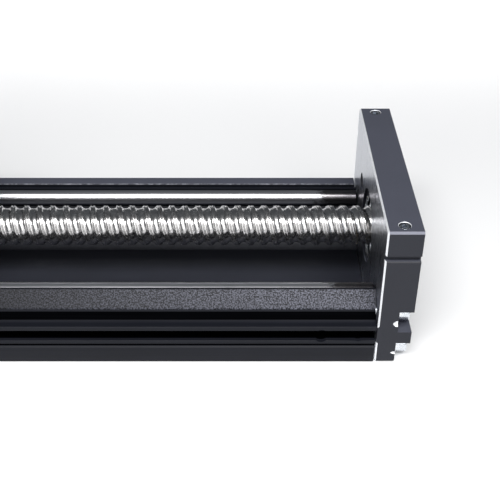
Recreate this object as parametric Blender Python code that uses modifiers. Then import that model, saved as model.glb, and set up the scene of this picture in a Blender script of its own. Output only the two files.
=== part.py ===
"""Ball screw linear module: a ball screw drives a carriage along a U-shaped base profile.

Frame: +X along the screw, towards the free end; +Y to the rear; +Z up. The origin is at
the bottom centre of the module. Every outline is drawn in the Y-Z plane, in millimetres,
and becomes metres when its solid is made.
"""
from math import atan2, cos, degrees, pi, radians, sin, sqrt

import bmesh
import bpy
from mathutils import Matrix, Vector

MM = 0.001
ASSEMBLY = "ball_screw_module"
GAP = 0.3                      # running and touching clearance between two pieces
WELD = 0.000002                # metres

# Driving dimensions, mm
TRAVEL = 150.0
WIDTH = 90.0
BLOCK_HEIGHT = 55.5
AXIS_Z = 28.4
PITCH = 5.0                     # between neighbouring ball grooves
STARTS = 2
LEAD = PITCH * STARTS
SCREW_RADIUS = 7.5
FREE_BLOCK_LENGTH = 12.0
DRIVE_BLOCK_LENGTH = 24.0
CARRIAGE_LENGTH = 86.0
END_MARGIN = 7.0
DRIVE_OVERHANG = 19.0          # journal past the drive block's outer face

HALF = WIDTH / 2
INNER_LENGTH = TRAVEL + CARRIAGE_LENGTH + 2 * END_MARGIN
TOTAL_LENGTH = DRIVE_OVERHANG + DRIVE_BLOCK_LENGTH + INNER_LENGTH + FREE_BLOCK_LENGTH
FREE_OUT = TOTAL_LENGTH / 2                       # outer face of the free-end block
FREE_IN = FREE_OUT - FREE_BLOCK_LENGTH
DRIVE_IN = FREE_IN - INNER_LENGTH
DRIVE_OUT = DRIVE_IN - DRIVE_BLOCK_LENGTH
JOURNAL_END = DRIVE_OUT - DRIVE_OVERHANG
CARRIAGE_X = DRIVE_IN + END_MARGIN + CARRIAGE_LENGTH / 2

# Base profile and guide shafts
FLOOR = 5.0
LEDGE = 14.0
CREST = 24.5
RIB_TOP = 16.0
SHAFT_RADIUS = 3.0
SHAFT_Y = 31.4
SHAFT_Z = 21.4
CRADLE = SHAFT_RADIUS + GAP
SLOPE_TOP = 34.4
COVE_Y, COVE_Z, COVE_RADIUS = 43.8, 20.6, 4.6
FOOT_Y, FOOT_Z, FOOT_RADIUS = 38.4, 19.33, 0.95
SEAM = (7.1, 8.1)              # heights of the shallow groove under each side slot
SLOT = (8.7, 15.0)             # heights inside each side slot
MOUTH = (9.8, 14.2)            # heights of the slot's mouth
SLOT_BACK = 39.2
LIP = 1.5
RAIL_Y = (39.8, 44.8)          # sensor rail on the rear wall
RAIL_TOP = 23.0

# Screws of the end blocks: (distance from the middle, height)
BOLT_PLACES = {"upper": (37.6, 17.6), "lower": (39.0, 4.4)}
NOTCH_HEIGHTS = {"upper": (13.6, 22.5), "lower": (-1.0, 8.6)}
BOLT_RADIUS = 1.7              # M4, drawn at its thread's pitch radius
BOLT_HEAD_RADIUS = 3.7
BOLT_HEAD = 4.3
BOLT_LENGTH = 20.0
FREE_NOTCH = 5.0               # depth of the bolt notches in each end block
DRIVE_NOTCH = 10.0
HOLE_PLAY = 0.3
SET_SCREW_RADIUS = 2.0
SET_SCREW_INSET = 4.2
SET_SCREW_DEPTH = 6.3
SIDE_GROOVE = (43.8, 45.9)     # heights of the groove round the blocks' sides
SIDE_GROOVE_DEPTH = 0.7
SIDE_HOLE = (21.8, 34.8)        # a plain hole through the free block, beside its bore
SIDE_HOLE_RADIUS = 3.5

# Bearings, 12 x 28 x 8
BORE_RADIUS = 14.0
JOURNAL_RADIUS = 6.0
BEARING_WIDTH = 8.0
DRIVE_JOURNAL_RADIUS = 5.0
SPACER_RADIUS = 8.2
COVER_RADIUS = 20.0
COVER_LENGTH = 4.0
COVER_SEAT = 5.0               # depth of the cover's counterbore in the drive block
COVER_SCREW_CIRCLE = 16.5
LOCK_NUT_RADIUS = 11.0
LOCK_NUT_LENGTH = 7.0
SMALL_BOLT_RADIUS = 1.5        # M3 screws of the cover and the nut flange

# Rollers on the guide shafts
ROLLER_RADIUS = 7.5
ROLLER_WAIST = 6.0
ROLLER_HEIGHT = 7.0
ROLLER_OFFSET = 34.0
ROLLER_Y = SHAFT_Y - SHAFT_RADIUS - GAP - ROLLER_WAIST
AXLE_RADIUS = 2.5

# Carriage
TABLE_BOTTOM = 48.5
TABLE_TOP = 58.0
TABLE_HALF_WIDTH = 42.0
HOUSING_X = (-13.0, 17.0)
HOUSING_HALF_WIDTH = 18.5
HOUSING_BOTTOM = 10.0
NUT_RADIUS = 14.0
FLANGE_RADIUS = 24.0
FLANGE_HALF_HEIGHT = 19.3
FLANGE_LENGTH = 9.0
TABLE_SCREW_RADIUS = 1.7
TABLE_SCREW_X = (-8.0, 12.0)
TABLE_SCREW_Y = 14.0
TABLE_SCREW_SEAT = 5.0         # counterbore depth in the table
MOUNT_HOLE = 32.0              # the table's threaded holes, from its middle both ways
MOUNT_HOLE_DEPTH = 8.0

ROUND_STEPS = 24
SMALL_STEPS = 8
THREAD_STEPS = 10              # sides of the threaded rod, and groove points in one turn

FINISHES = {                   # colour, metallic, roughness
    "black_anodised": ((0.030, 0.034, 0.043), 0.7, 0.42),
    "dark_coated": ((0.055, 0.060, 0.074), 0.6, 0.48),
    "polished_steel": ((0.72, 0.72, 0.74), 1.0, 0.14),
    "rolled_steel": ((0.58, 0.58, 0.60), 1.0, 0.24),
    "bearing_steel": ((0.55, 0.56, 0.58), 1.0, 0.22),
    "zinc_steel": ((0.74, 0.76, 0.78), 1.0, 0.26),
    "spring_steel": ((0.10, 0.10, 0.11), 0.9, 0.35),
    "nut_steel": ((0.50, 0.50, 0.52), 1.0, 0.28),
    "wiper_plastic": ((0.04, 0.04, 0.045), 0.0, 0.55),
    "cage_brass": ((0.62, 0.45, 0.20), 1.0, 0.35),
}


# ---------------------------------------------------------------- helpers
def clear_scene():
    for item in list(bpy.data.objects):
        bpy.data.objects.remove(item, do_unlink=True)


def make_collection(name):
    collection = bpy.data.collections.new(name)
    bpy.context.scene.collection.children.link(collection)
    return collection


def make_material(name):
    colour, metallic, roughness = FINISHES[name]
    material = bpy.data.materials.new(name)
    material.use_nodes = True
    shader = material.node_tree.nodes["Principled BSDF"]
    shader.inputs["Base Color"].default_value = (*colour, 1.0)
    shader.inputs["Metallic"].default_value = metallic
    shader.inputs["Roughness"].default_value = roughness
    return material


def evaluated_mesh(item):
    """The item's mesh with its modifiers, welded, tidied and with its faces pointing out."""
    graph = bpy.context.evaluated_depsgraph_get()
    mesh = bpy.data.meshes.new_from_object(item.evaluated_get(graph))
    sheet = bmesh.new()
    sheet.from_mesh(mesh)
    bmesh.ops.remove_doubles(sheet, verts=sheet.verts, dist=WELD)
    bmesh.ops.dissolve_limit(sheet, angle_limit=radians(0.3), verts=sheet.verts, edges=sheet.edges)
    bmesh.ops.recalc_face_normals(sheet, faces=sheet.faces)
    sheet.to_mesh(mesh)
    sheet.free()
    return mesh


def place(name, mesh, material, smooth_angle=35):
    item = bpy.data.objects.new(name, mesh)
    if not mesh.materials:
        mesh.materials.append(MATERIALS[material])
    mesh.shade_smooth()
    mesh.set_sharp_from_angle(angle=radians(smooth_angle))
    PIECES.objects.link(item)
    return item


def bake(item):
    """Replace an item's mesh by its evaluated one, and drop the modifiers."""
    mesh = evaluated_mesh(item)
    item.modifiers.clear()
    item.data = mesh
    return item


def circle(centre_y, centre_z, radius, steps=ROUND_STEPS):
    turn = [2 * pi * i / steps for i in range(steps)]
    return [(centre_y + radius * cos(a), centre_z + radius * sin(a)) for a in turn]


def arc(centre_y, centre_z, radius, start, end, steps=6):
    """Points on an arc, from one angle in degrees to another."""
    angles = [radians(start + (end - start) * i / steps) for i in range(steps + 1)]
    return [(centre_y + radius * cos(a), centre_z + radius * sin(a)) for a in angles]


def extrusion(name, outlines, start, end, material):
    """Y-Z outlines, the first one outer and the rest holes, made solid from start to end in X."""
    curve = bpy.data.curves.new(name, "CURVE")
    curve.dimensions = "2D"
    curve.fill_mode = "BOTH"
    curve.extrude = (end - start) / 2 * MM
    for outline in outlines:
        spline = curve.splines.new("POLY")
        spline.points.add(len(outline) - 1)
        spline.use_cyclic_u = True
        for point, (y, z) in zip(spline.points, outline):
            point.co = (y * MM, z * MM, 0, 1)
    guide = bpy.data.objects.new(name + "_outline", curve)
    PIECES.objects.link(guide)
    bpy.context.view_layer.update()
    mesh = evaluated_mesh(guide)
    bpy.data.objects.remove(guide)
    turn = Matrix(((0, 0, 1, 0), (1, 0, 0, 0), (0, 1, 0, 0), (0, 0, 0, 1)))
    mesh.transform(Matrix.Translation(((start + end) / 2 * MM, 0, 0)) @ turn)
    return place(name, mesh, material)


def turned(name, profile, material, axis="X", steps=ROUND_STEPS, closed=False):
    """A profile of (place along the axis, radius), turned about X or Z at the origin."""
    mesh = bpy.data.meshes.new(name)
    if axis == "X":
        points = [(a * MM, r * MM, 0) for a, r in profile]
    else:
        points = [(r * MM, 0, a * MM) for a, r in profile]
    count = len(points)
    edges = [(i, (i + 1) % count) for i in range(count if closed else count - 1)]
    mesh.from_pydata(points, edges, [])
    item = bpy.data.objects.new(name, mesh)
    PIECES.objects.link(item)
    screw = item.modifiers.new("turn", "SCREW")
    screw.axis = axis
    screw.steps = screw.render_steps = steps
    screw.use_merge_vertices = True
    screw.merge_threshold = 0.00001
    bpy.context.view_layer.update()
    solid = evaluated_mesh(item)
    bpy.data.objects.remove(item)
    return place(name, solid, material)


def ring(name, start, end, inner, outer, material, chamfer=0.4, steps=ROUND_STEPS):
    """A turned ring along X with chamfered outer edges."""
    profile = [(start, inner), (end, inner), (end, outer - chamfer), (end - chamfer, outer),
               (start + chamfer, outer), (start, outer - chamfer)]
    return turned(name, profile, material, steps=steps, closed=True)


def box(name, low, high, material, bevel=0.0):
    sheet = bmesh.new()
    size = [(b - a) * MM for a, b in zip(low, high)]
    middle = [(a + b) / 2 * MM for a, b in zip(low, high)]
    bmesh.ops.create_cube(sheet, size=1.0, matrix=Matrix.Translation(middle) @ Matrix.Diagonal((*size, 1)))
    mesh = bpy.data.meshes.new(name)
    sheet.to_mesh(mesh)
    sheet.free()
    item = place(name, mesh, material)
    if bevel:
        rounding = item.modifiers.new("edges", "BEVEL")
        rounding.width = bevel * MM
        rounding.segments = 1
        bpy.context.view_layer.update()
        bake(item)
    return item


def combine(item, tools, operation):
    """Cut the tools from the item, or join them to it, in one step."""
    sheet = bmesh.new()
    for tool in tools:
        tool.data.transform(Matrix.LocRotScale(tool.location, tool.rotation_euler, None))
        sheet.from_mesh(tool.data)
        bpy.data.objects.remove(tool)
    mesh = bpy.data.meshes.new("tools")
    sheet.to_mesh(mesh)
    sheet.free()
    joined = place("tools", mesh, "zinc_steel")
    step = item.modifiers.new(operation.lower(), "BOOLEAN")
    step.operation = operation
    step.solver = "EXACT"
    step.use_self = True
    step.object = joined
    bpy.context.view_layer.update()
    bake(item)
    bpy.data.objects.remove(joined)
    item.data.shade_smooth()
    item.data.set_sharp_from_angle(angle=radians(35))
    return item


def move(item, x=0.0, y=0.0, z=0.0):
    item.location = Vector((x, y, z)) * MM
    return item


def copy(item, name, x=0.0, y=0.0, z=0.0):
    twin = bpy.data.objects.new(name, item.data)
    PIECES.objects.link(twin)
    twin.rotation_euler = item.rotation_euler
    return move(twin, x, y, z)


def rod(start, end, y, z, radius, steps=SMALL_STEPS):
    """A plain cutter along X."""
    return extrusion("cutter", [circle(y, z, radius, steps)], start, end, "zinc_steel")


def upright_rod(x, y, low, high, radius, steps=SMALL_STEPS):
    """A plain cutter or boss along Z."""
    profile = [(low, 0), (low, radius), (high, radius), (high, 0)]
    return move(turned("cutter", profile, "zinc_steel", axis="Z", steps=steps), x, y)


# ---------------------------------------------------------------- base
def profile_outline():
    """Half of the U section: the underside, the outer side, the crest and the inner wall."""
    lip = HALF - LIP
    half = [(HALF - 0.6, 0), (HALF, 0.6), (HALF, SEAM[0] - 0.3), (HALF - 0.8, SEAM[0]),
            (HALF - 0.8, SEAM[1]), (HALF, SEAM[1] + 0.3)]
    half += [(HALF, MOUTH[0]), (lip, MOUTH[0]), (lip, SLOT[0]), (SLOT_BACK, SLOT[0]), (SLOT_BACK, 11.0),
             (SLOT_BACK + 0.6, 11.4), (SLOT_BACK, 11.8), (SLOT_BACK, SLOT[1]), (lip, SLOT[1]),
             (lip, MOUTH[1]), (HALF, MOUTH[1]), (HALF, RIB_TOP - 0.3), (HALF - 0.3, RIB_TOP)]
    half += arc(COVE_Y, COVE_Z, COVE_RADIUS, 270, 196, 6)
    half += arc(FOOT_Y, FOOT_Z, FOOT_RADIUS, 0, 45, 2)
    half += [(SLOPE_TOP, CREST), (SHAFT_Y + 1.9, CREST)]
    half += arc(SHAFT_Y, SHAFT_Z, CRADLE, 58, -95, 10)
    half += [(30.2, 17.5), (27.6, LEDGE), (20.3, LEDGE), (19.7, LEDGE - 0.6), (19.7, FLOOR + 2.6)]
    half += [(17.1, FLOOR)]
    return half


def base_profile():
    half = profile_outline()
    outline = half + [(-y, z) for y, z in reversed(half)]
    body = extrusion("base_profile", [outline], DRIVE_IN + GAP, FREE_IN - GAP, "black_anodised")
    cutters = []
    for side in (-1, 1):
        for y, z in BOLT_PLACES.values():
            hole = (side * y, z, BOLT_RADIUS + HOLE_PLAY)
            cutters.append(rod(FREE_IN - BOLT_LENGTH, FREE_IN + 1, *hole))
            cutters.append(rod(DRIVE_IN - 1, DRIVE_IN + BOLT_LENGTH, *hole))
    return combine(body, cutters, "DIFFERENCE")


def guide_shafts():
    start, end = DRIVE_IN + GAP, FREE_IN - GAP
    profile = [(start, 0), (start, 2.6), (start + 0.4, SHAFT_RADIUS), (end - 0.4, SHAFT_RADIUS),
               (end, 2.6), (end, 0)]
    for side, name in ((-1, "guide_shaft_front"), (1, "guide_shaft_rear")):
        move(turned(name, profile, "polished_steel"), 0, side * SHAFT_Y, SHAFT_Z)


def sensor_rail():
    """The flat bar along the rear wall that carries the limit switches."""
    inner, outer = RAIL_Y
    outline = [(outer - 0.4, RIB_TOP + 0.5), (outer, RIB_TOP + 0.9), (outer, RAIL_TOP - 0.4),
               (outer - 0.4, RAIL_TOP), (inner + 0.4, RAIL_TOP), (inner, RAIL_TOP - 0.4), (inner, 20.9)]
    outline += arc(COVE_Y, COVE_Z, COVE_RADIUS - 2 * GAP, 185, 262, 5)
    return extrusion("rear_sensor_rail", [outline], DRIVE_IN + GAP, FREE_IN - GAP, "dark_coated")


# ---------------------------------------------------------------- end blocks
def block_outline():
    cut = 0.5
    low, high = SIDE_GROOVE
    bottom = HALF - SIDE_GROOVE_DEPTH
    right = [(HALF - cut, 0), (HALF, cut), (HALF, low), (bottom, low + 0.4), (bottom, high - 0.4),
             (HALF, high), (HALF, BLOCK_HEIGHT - cut), (HALF - cut, BLOCK_HEIGHT)]
    return right + [(-y, z) for y, z in reversed(right)]


def notch(side, place_name, outer, outward, depth):
    """The open-sided counterbore of one end bolt, from the block's outer face inwards."""
    start, end = sorted((outer - outward * depth, outer + outward))
    low, high = NOTCH_HEIGHTS[place_name]
    middle, reach = (low + high) / 2, (high - low) / 2
    bow = arc(BOLT_PLACES[place_name][0], middle, reach, 90, 270, 8)
    outline = [(side * a, b) for a, b in [(HALF + 1, low), (HALF + 1, high)] + bow]
    return extrusion("cutter", [outline], start, end, "zinc_steel")


def block_cutters(outer, inner, outward, depth):
    """Bolt notches and holes, and the two set screw holes in the top."""
    cutters = []
    start, end = sorted((outer + outward, inner - outward))
    middle = (inner + outer) / 2
    for side in (-1, 1):
        for place_name, (y, z) in BOLT_PLACES.items():
            cutters.append(notch(side, place_name, outer, outward, depth))
            cutters.append(rod(start, end, side * y, z, BOLT_RADIUS + HOLE_PLAY))
        cutters.append(upright_rod(middle, side * (HALF - SET_SCREW_INSET), BLOCK_HEIGHT - SET_SCREW_DEPTH,
                                   BLOCK_HEIGHT + 1, SET_SCREW_RADIUS + HOLE_PLAY))
    return cutters


def free_end_block():
    """The block with the floating bearing. Its bore stops short of the outer face."""
    body = extrusion("free_end_block", [block_outline(), circle(*SIDE_HOLE, SIDE_HOLE_RADIUS, 16)],
                     FREE_IN, FREE_OUT, "dark_coated")
    bore = BORE_RADIUS + GAP / 2
    cutters = block_cutters(FREE_OUT, FREE_IN, 1, FREE_NOTCH)
    cutters.append(rod(FREE_IN - 1, FREE_OUT - 1.5, 0, AXIS_Z, bore, ROUND_STEPS))
    cutters.append(rod(FREE_IN, FREE_OUT + 1, 0, AXIS_Z, 10.5, ROUND_STEPS))
    cutters.append(rod(FREE_IN + 0.6, FREE_IN + 2.0, 0, AXIS_Z, BORE_RADIUS + 0.9, ROUND_STEPS))
    return combine(body, cutters, "DIFFERENCE")


def drive_end_block():
    """The block with the pair of fixed bearings, and a counterbore for their cover."""
    body = extrusion("drive_end_block", [block_outline()], DRIVE_OUT, DRIVE_IN, "dark_coated")
    seat = DRIVE_OUT + COVER_SEAT
    bore = BORE_RADIUS + GAP / 2
    cutters = block_cutters(DRIVE_OUT, DRIVE_IN, -1, DRIVE_NOTCH)
    cutters.append(rod(DRIVE_OUT - 1, seat, 0, AXIS_Z, COVER_RADIUS + GAP, ROUND_STEPS))
    cutters.append(rod(DRIVE_OUT, DRIVE_IN - 2, 0, AXIS_Z, bore, ROUND_STEPS))
    cutters.append(rod(seat, DRIVE_IN + 1, 0, AXIS_Z, 11.0, ROUND_STEPS))
    for y, z in cover_screw_places():
        cutters.append(rod(seat - 1, seat + 9, y, AXIS_Z + z, SMALL_BOLT_RADIUS + HOLE_PLAY))
    return combine(body, cutters, "DIFFERENCE")


# ---------------------------------------------------------------- fasteners
def cap_screw(name, radius, head_radius, head, length, material="zinc_steel"):
    """A socket cap screw along X, its head's seat at the origin and its shank towards -X."""
    edge = 0.3
    profile = [(-length, 0), (-length, radius - edge), (-length + edge, radius), (0, radius),
               (0, head_radius), (head - edge, head_radius), (head, head_radius - edge), (head, 0)]
    body = turned(name, profile, material, steps=SMALL_STEPS)
    socket = extrusion("cutter", [circle(0, 0, head_radius * 0.5, 6)], head * 0.45, head + 1,
                       material)
    return combine(body, [socket], "DIFFERENCE")


def end_bolts():
    """Four M4 cap screws through each end block into the profile's ends."""
    first = None
    ends = (("free", FREE_OUT - FREE_NOTCH + GAP, 0.0), ("drive", DRIVE_OUT + DRIVE_NOTCH - GAP, pi))
    for end, seat, turn in ends:
        for side, side_name in ((-1, "front"), (1, "rear")):
            for place_name, (y, z) in BOLT_PLACES.items():
                name = f"end_bolt_{end}_{side_name}_{place_name}"
                if first is None:
                    first = cap_screw(name, BOLT_RADIUS, BOLT_HEAD_RADIUS, BOLT_HEAD, BOLT_LENGTH)
                    bolt = move(first, seat, side * y, z)
                else:
                    bolt = copy(first, name, seat, side * y, z)
                bolt.rotation_euler = (0, 0, turn)


def set_screws():
    """Grub screws in the top of each end block."""
    edge = SET_SCREW_RADIUS - 0.3
    profile = [(-5.5, 0), (-5.5, edge - 0.5), (-4.7, SET_SCREW_RADIUS), (-0.3, SET_SCREW_RADIUS),
               (0, edge), (0, 0)]
    first = None
    for end, middle in (("free", (FREE_IN + FREE_OUT) / 2), ("drive", (DRIVE_IN + DRIVE_OUT) / 2)):
        for side, side_name in ((-1, "front"), (1, "rear")):
            name = f"set_screw_{end}_{side_name}"
            spot = (middle, side * (HALF - SET_SCREW_INSET), BLOCK_HEIGHT - 0.2)
            if first is None:
                first = turned(name, profile, "zinc_steel", axis="Z", steps=SMALL_STEPS)
                hexagon = upright_rod(0, 0, -2.2, 1, 1.15, steps=6)
                combine(first, [hexagon], "DIFFERENCE")
                move(first, *spot)
            else:
                copy(first, name, *spot)


# ---------------------------------------------------------------- screw and bearings
THREAD_START = DRIVE_IN - 1.0
THREAD_END = FREE_IN + 1.2
GROOVE_START = THREAD_START - 2.15
LOCK_NUT_X = (DRIVE_OUT - LOCK_NUT_LENGTH, DRIVE_OUT)


def groove_cutter(start):
    """One start's round ball groove, a tube along a helix that runs out past both thread ends."""
    turns = (THREAD_END - THREAD_START) / LEAD + 1
    count = int(turns * THREAD_STEPS)
    curve = bpy.data.curves.new("groove", "CURVE")
    curve.dimensions = "3D"
    curve.bevel_depth = 1.75 * MM
    curve.bevel_resolution = 0
    curve.use_fill_caps = True
    spline = curve.splines.new("POLY")
    spline.points.add(count)
    reach = (SCREW_RADIUS + 0.35) * MM
    for i, point in enumerate(spline.points):
        angle = 2 * pi * (i / THREAD_STEPS + start / STARTS)
        x = (GROOVE_START + LEAD * i / THREAD_STEPS) * MM
        point.co = (x, reach * cos(angle), reach * sin(angle), 1)
    guide = bpy.data.objects.new("groove", curve)
    PIECES.objects.link(guide)
    bpy.context.view_layer.update()
    mesh = evaluated_mesh(guide)
    bpy.data.objects.remove(guide)
    return place("cutter", mesh, "rolled_steel")


def ball_screw():
    """The screw with its journals: drive end, fixed bearings, thread, floating bearing."""
    seat = JOURNAL_RADIUS - GAP
    clip = FREE_IN + 10.5
    profile = [
        (JOURNAL_END, 0), (JOURNAL_END, DRIVE_JOURNAL_RADIUS - 0.5),
        (JOURNAL_END + 0.5, DRIVE_JOURNAL_RADIUS), (LOCK_NUT_X[0] - 1, DRIVE_JOURNAL_RADIUS),
        (LOCK_NUT_X[0] - 1, seat), (DRIVE_IN - 2.3, seat), (DRIVE_IN - 2.3, SCREW_RADIUS),
        (THREAD_START, SCREW_RADIUS), (THREAD_END, SCREW_RADIUS), (THREAD_END + 0.6, seat + 1.2),
        (THREAD_END + 0.9, seat + 1.2), (THREAD_END + 0.9, seat), (clip, seat), (clip, seat - 0.5),
        (clip + 0.8, seat - 0.5), (clip + 0.8, seat - 0.2), (clip + 1.2, seat - 0.5), (clip + 1.2, 0)]
    blank = turned("ball_screw", profile, "rolled_steel", steps=THREAD_STEPS)
    combine(blank, [groove_cutter(start) for start in range(STARTS)], "DIFFERENCE")
    return move(blank, 0, 0, AXIS_Z)


def bearing(prefix, start):
    """One deep-groove ball bearing: two rings, and its balls with their cage as one ring."""
    end = start + BEARING_WIDTH
    outer = ring(prefix + "_outer_ring", start, end, 11.8, BORE_RADIUS - GAP / 2, "bearing_steel")
    inner = turned(prefix + "_inner_ring",
                   [(start, JOURNAL_RADIUS), (end, JOURNAL_RADIUS), (end, SPACER_RADIUS),
                    (start, SPACER_RADIUS)],
                   "bearing_steel", closed=True)
    middle = (start + end) / 2
    bulge = [(middle + 1.5 * cos(a), 10.0 + 1.5 * sin(a)) for a in
             [2 * pi * i / 6 for i in range(6)]]
    balls = turned(prefix + "_ball_cage", bulge, "cage_brass", steps=18, closed=True)
    for item in (outer, inner, balls):
        move(item, 0, 0, AXIS_Z)


def bore_circlip():
    """The retaining ring in the free block's bore, open at the top between its two eyelets."""
    opening = 14
    start, end = FREE_IN + 0.8, FREE_IN + 1.8
    band = arc(0, 0, BORE_RADIUS + 0.6, 90 + opening, 450 - opening, 28)
    back = arc(0, 0, BORE_RADIUS - 1.4, 450 - opening, 90 + opening, 28)
    clip = extrusion("bore_circlip", [band + back], start, end, "spring_steel")
    eyes = []
    for side in (-1, 1):
        angle = radians(90 + side * (opening + 1))
        y, z = 11.9 * cos(angle), 11.9 * sin(angle)
        eyes.append(extrusion("cutter", [circle(y, z, 1.6, 10), circle(y, z, 0.6, 6)], start, end,
                              "spring_steel"))
    combine(clip, eyes, "UNION")
    return move(clip, 0, 0, AXIS_Z)


def bearings():
    bearing("free_bearing", FREE_IN + 2.3)
    bearing("drive_bearing_inner", DRIVE_IN - 2.3 - BEARING_WIDTH)
    bearing("drive_bearing_outer", DRIVE_IN - 2.6 - 2 * BEARING_WIDTH)
    bore_circlip()
    clip = ring("journal_circlip", FREE_IN + 10.7, FREE_IN + 11.1, 5.5, 7.6, "spring_steel", 0.1)
    move(clip, 0, 0, AXIS_Z)


def cover_screw_places():
    angles = [radians(a) for a in (45, 135, 225, 315)]
    return [(COVER_SCREW_CIRCLE * cos(a), COVER_SCREW_CIRCLE * sin(a)) for a in angles]


def drive_cover():
    """The cover plate over the drive bearings, sunk in the block, and its four screws."""
    end = DRIVE_OUT + COVER_SEAT - GAP
    plate = [circle(0, AXIS_Z, COVER_RADIUS), circle(0, AXIS_Z, 9.5)]
    hole = SMALL_BOLT_RADIUS + HOLE_PLAY
    plate += [circle(y, AXIS_Z + z, hole, SMALL_STEPS) for y, z in cover_screw_places()]
    extrusion("bearing_cover", plate, end - COVER_LENGTH, end, "dark_coated")
    first = None
    for number, (y, z) in enumerate(cover_screw_places(), 1):
        name = f"cover_screw_{number}"
        spot = (end - COVER_LENGTH - GAP, y, AXIS_Z + z)
        if first is None:
            first = cap_screw(name, SMALL_BOLT_RADIUS, 2.75, 3.0, 11.0)
            first.rotation_euler = (0, 0, pi)
            move(first, *spot)
        else:
            copy(first, name, *spot)


def spacer_and_lock_nut():
    """The spacer behind the drive bearings, and the slotted nut that clamps them."""
    start, end = LOCK_NUT_X
    spacer = ring("bearing_spacer", end + GAP, DRIVE_IN - 2.9 - 2 * BEARING_WIDTH, JOURNAL_RADIUS,
                  SPACER_RADIUS, "bearing_steel", 0.2)
    move(spacer, 0, 0, AXIS_Z)
    nut = extrusion("lock_nut", [circle(0, 0, LOCK_NUT_RADIUS), circle(0, 0, JOURNAL_RADIUS)],
                    start, end, "spring_steel")
    slots = []
    for quarter in range(4):
        slot = box("cutter", (start - 1, 9.4, -1.5), (end + 1, LOCK_NUT_RADIUS + 1, 1.5), "spring_steel")
        slot.rotation_euler = (quarter * pi / 2, 0, 0)
        slots.append(slot)
    combine(nut, slots, "DIFFERENCE")
    move(nut, 0, 0, AXIS_Z)


# ---------------------------------------------------------------- carriage
def roller_spots():
    for end, x in (("drive", -ROLLER_OFFSET), ("free", ROLLER_OFFSET)):
        for side, side_name in ((-1, "front"), (1, "rear")):
            yield f"{side_name}_{end}", CARRIAGE_X + x, side * ROLLER_Y


def rollers():
    """Grooved track rollers that run on the inner sides of the guide shafts."""
    half = ROLLER_HEIGHT / 2
    bore = AXLE_RADIUS + GAP
    groove = [(z, ROLLER_WAIST + SHAFT_RADIUS - sqrt(SHAFT_RADIUS ** 2 - z ** 2))
              for z in (2.2, 1.2, 0.0, -1.2, -2.2)]
    groove = [(z, min(r, ROLLER_RADIUS)) for z, r in groove]
    profile = [(-half, bore), (half, bore), (half, ROLLER_RADIUS - 0.3), (half - 0.3, ROLLER_RADIUS),
               *groove, (-half + 0.3, ROLLER_RADIUS), (-half, ROLLER_RADIUS - 0.3)]
    axle = [(-half - 2.3, 0), (-half - 2.3, 3.7), (-half - 2.0, 4.0), (-half - GAP, 4.0),
            (-half - GAP, AXLE_RADIUS), (14.0, AXLE_RADIUS), (14.0, 0)]
    wheel = pin = None
    for label, x, y in roller_spots():
        if wheel is None:
            wheel = turned("roller_" + label, profile, "bearing_steel", axis="Z", steps=18, closed=True)
            pin = turned("roller_axle_" + label, axle, "zinc_steel", axis="Z", steps=SMALL_STEPS)
            move(wheel, x, y, SHAFT_Z)
            move(pin, x, y, SHAFT_Z)
        else:
            copy(wheel, "roller_" + label, x, y, SHAFT_Z)
            copy(pin, "roller_axle_" + label, x, y, SHAFT_Z)


def carriage_table():
    """The table plate, with a boss over each roller for the roller's axle."""
    half = CARRIAGE_LENGTH / 2
    plate = box("carriage_table", (CARRIAGE_X - half, -TABLE_HALF_WIDTH, TABLE_BOTTOM),
                (CARRIAGE_X + half, TABLE_HALF_WIDTH, TABLE_TOP), "black_anodised", 0.8)
    boss_bottom = SHAFT_Z + ROLLER_HEIGHT / 2 + GAP
    bosses = [upright_rod(x, y, boss_bottom, TABLE_BOTTOM + 2, 6.5, 20) for _, x, y in roller_spots()]
    combine(plate, bosses, "UNION")
    cutters = [upright_rod(x, y, boss_bottom - 1, boss_bottom + 11.5, AXLE_RADIUS + HOLE_PLAY)
               for _, x, y in roller_spots()]
    for x in TABLE_SCREW_X:
        for side in (-1, 1):
            spot = (CARRIAGE_X + x, side * TABLE_SCREW_Y)
            cutters.append(upright_rod(*spot, TABLE_BOTTOM - 1, TABLE_TOP + 1, 2.3))
            cutters.append(upright_rod(*spot, TABLE_TOP - TABLE_SCREW_SEAT, TABLE_TOP + 1, 4.2, 16))
    for x in (-MOUNT_HOLE, MOUNT_HOLE):
        for y in (-MOUNT_HOLE, MOUNT_HOLE):
            cutters.append(upright_rod(CARRIAGE_X + x, y, TABLE_TOP - MOUNT_HOLE_DEPTH, TABLE_TOP + 1, 2.5))
    return combine(plate, cutters, "DIFFERENCE")


def nut_housing():
    """The block under the table that holds the ball nut."""
    start, end = CARRIAGE_X + HOUSING_X[0], CARRIAGE_X + HOUSING_X[1]
    body = box("nut_housing", (start, -HOUSING_HALF_WIDTH, HOUSING_BOTTOM),
               (end, HOUSING_HALF_WIDTH, TABLE_BOTTOM - GAP), "dark_coated", 0.8)
    reach = (start - 1, end + 1)
    cutters = [rod(*reach, 0, AXIS_Z, NUT_RADIUS + GAP, ROUND_STEPS)]
    for x in TABLE_SCREW_X:
        for side in (-1, 1):
            cutters.append(upright_rod(CARRIAGE_X + x, side * TABLE_SCREW_Y, TABLE_BOTTOM - 6,
                                       TABLE_BOTTOM + 1, TABLE_SCREW_RADIUS + HOLE_PLAY))
    for y, z in flange_screw_places():
        cutters.append(rod(reach[0], reach[0] + 8, y, z, SMALL_BOLT_RADIUS + HOLE_PLAY))
    return combine(body, cutters, "DIFFERENCE")


def flange_screw_places():
    """Four screws that clear the nut's body, inside the housing's corners."""
    return [(sy * 14.8, AXIS_Z + sz * 12.0) for sy in (-1, 1) for sz in (-1, 1)]


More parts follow.
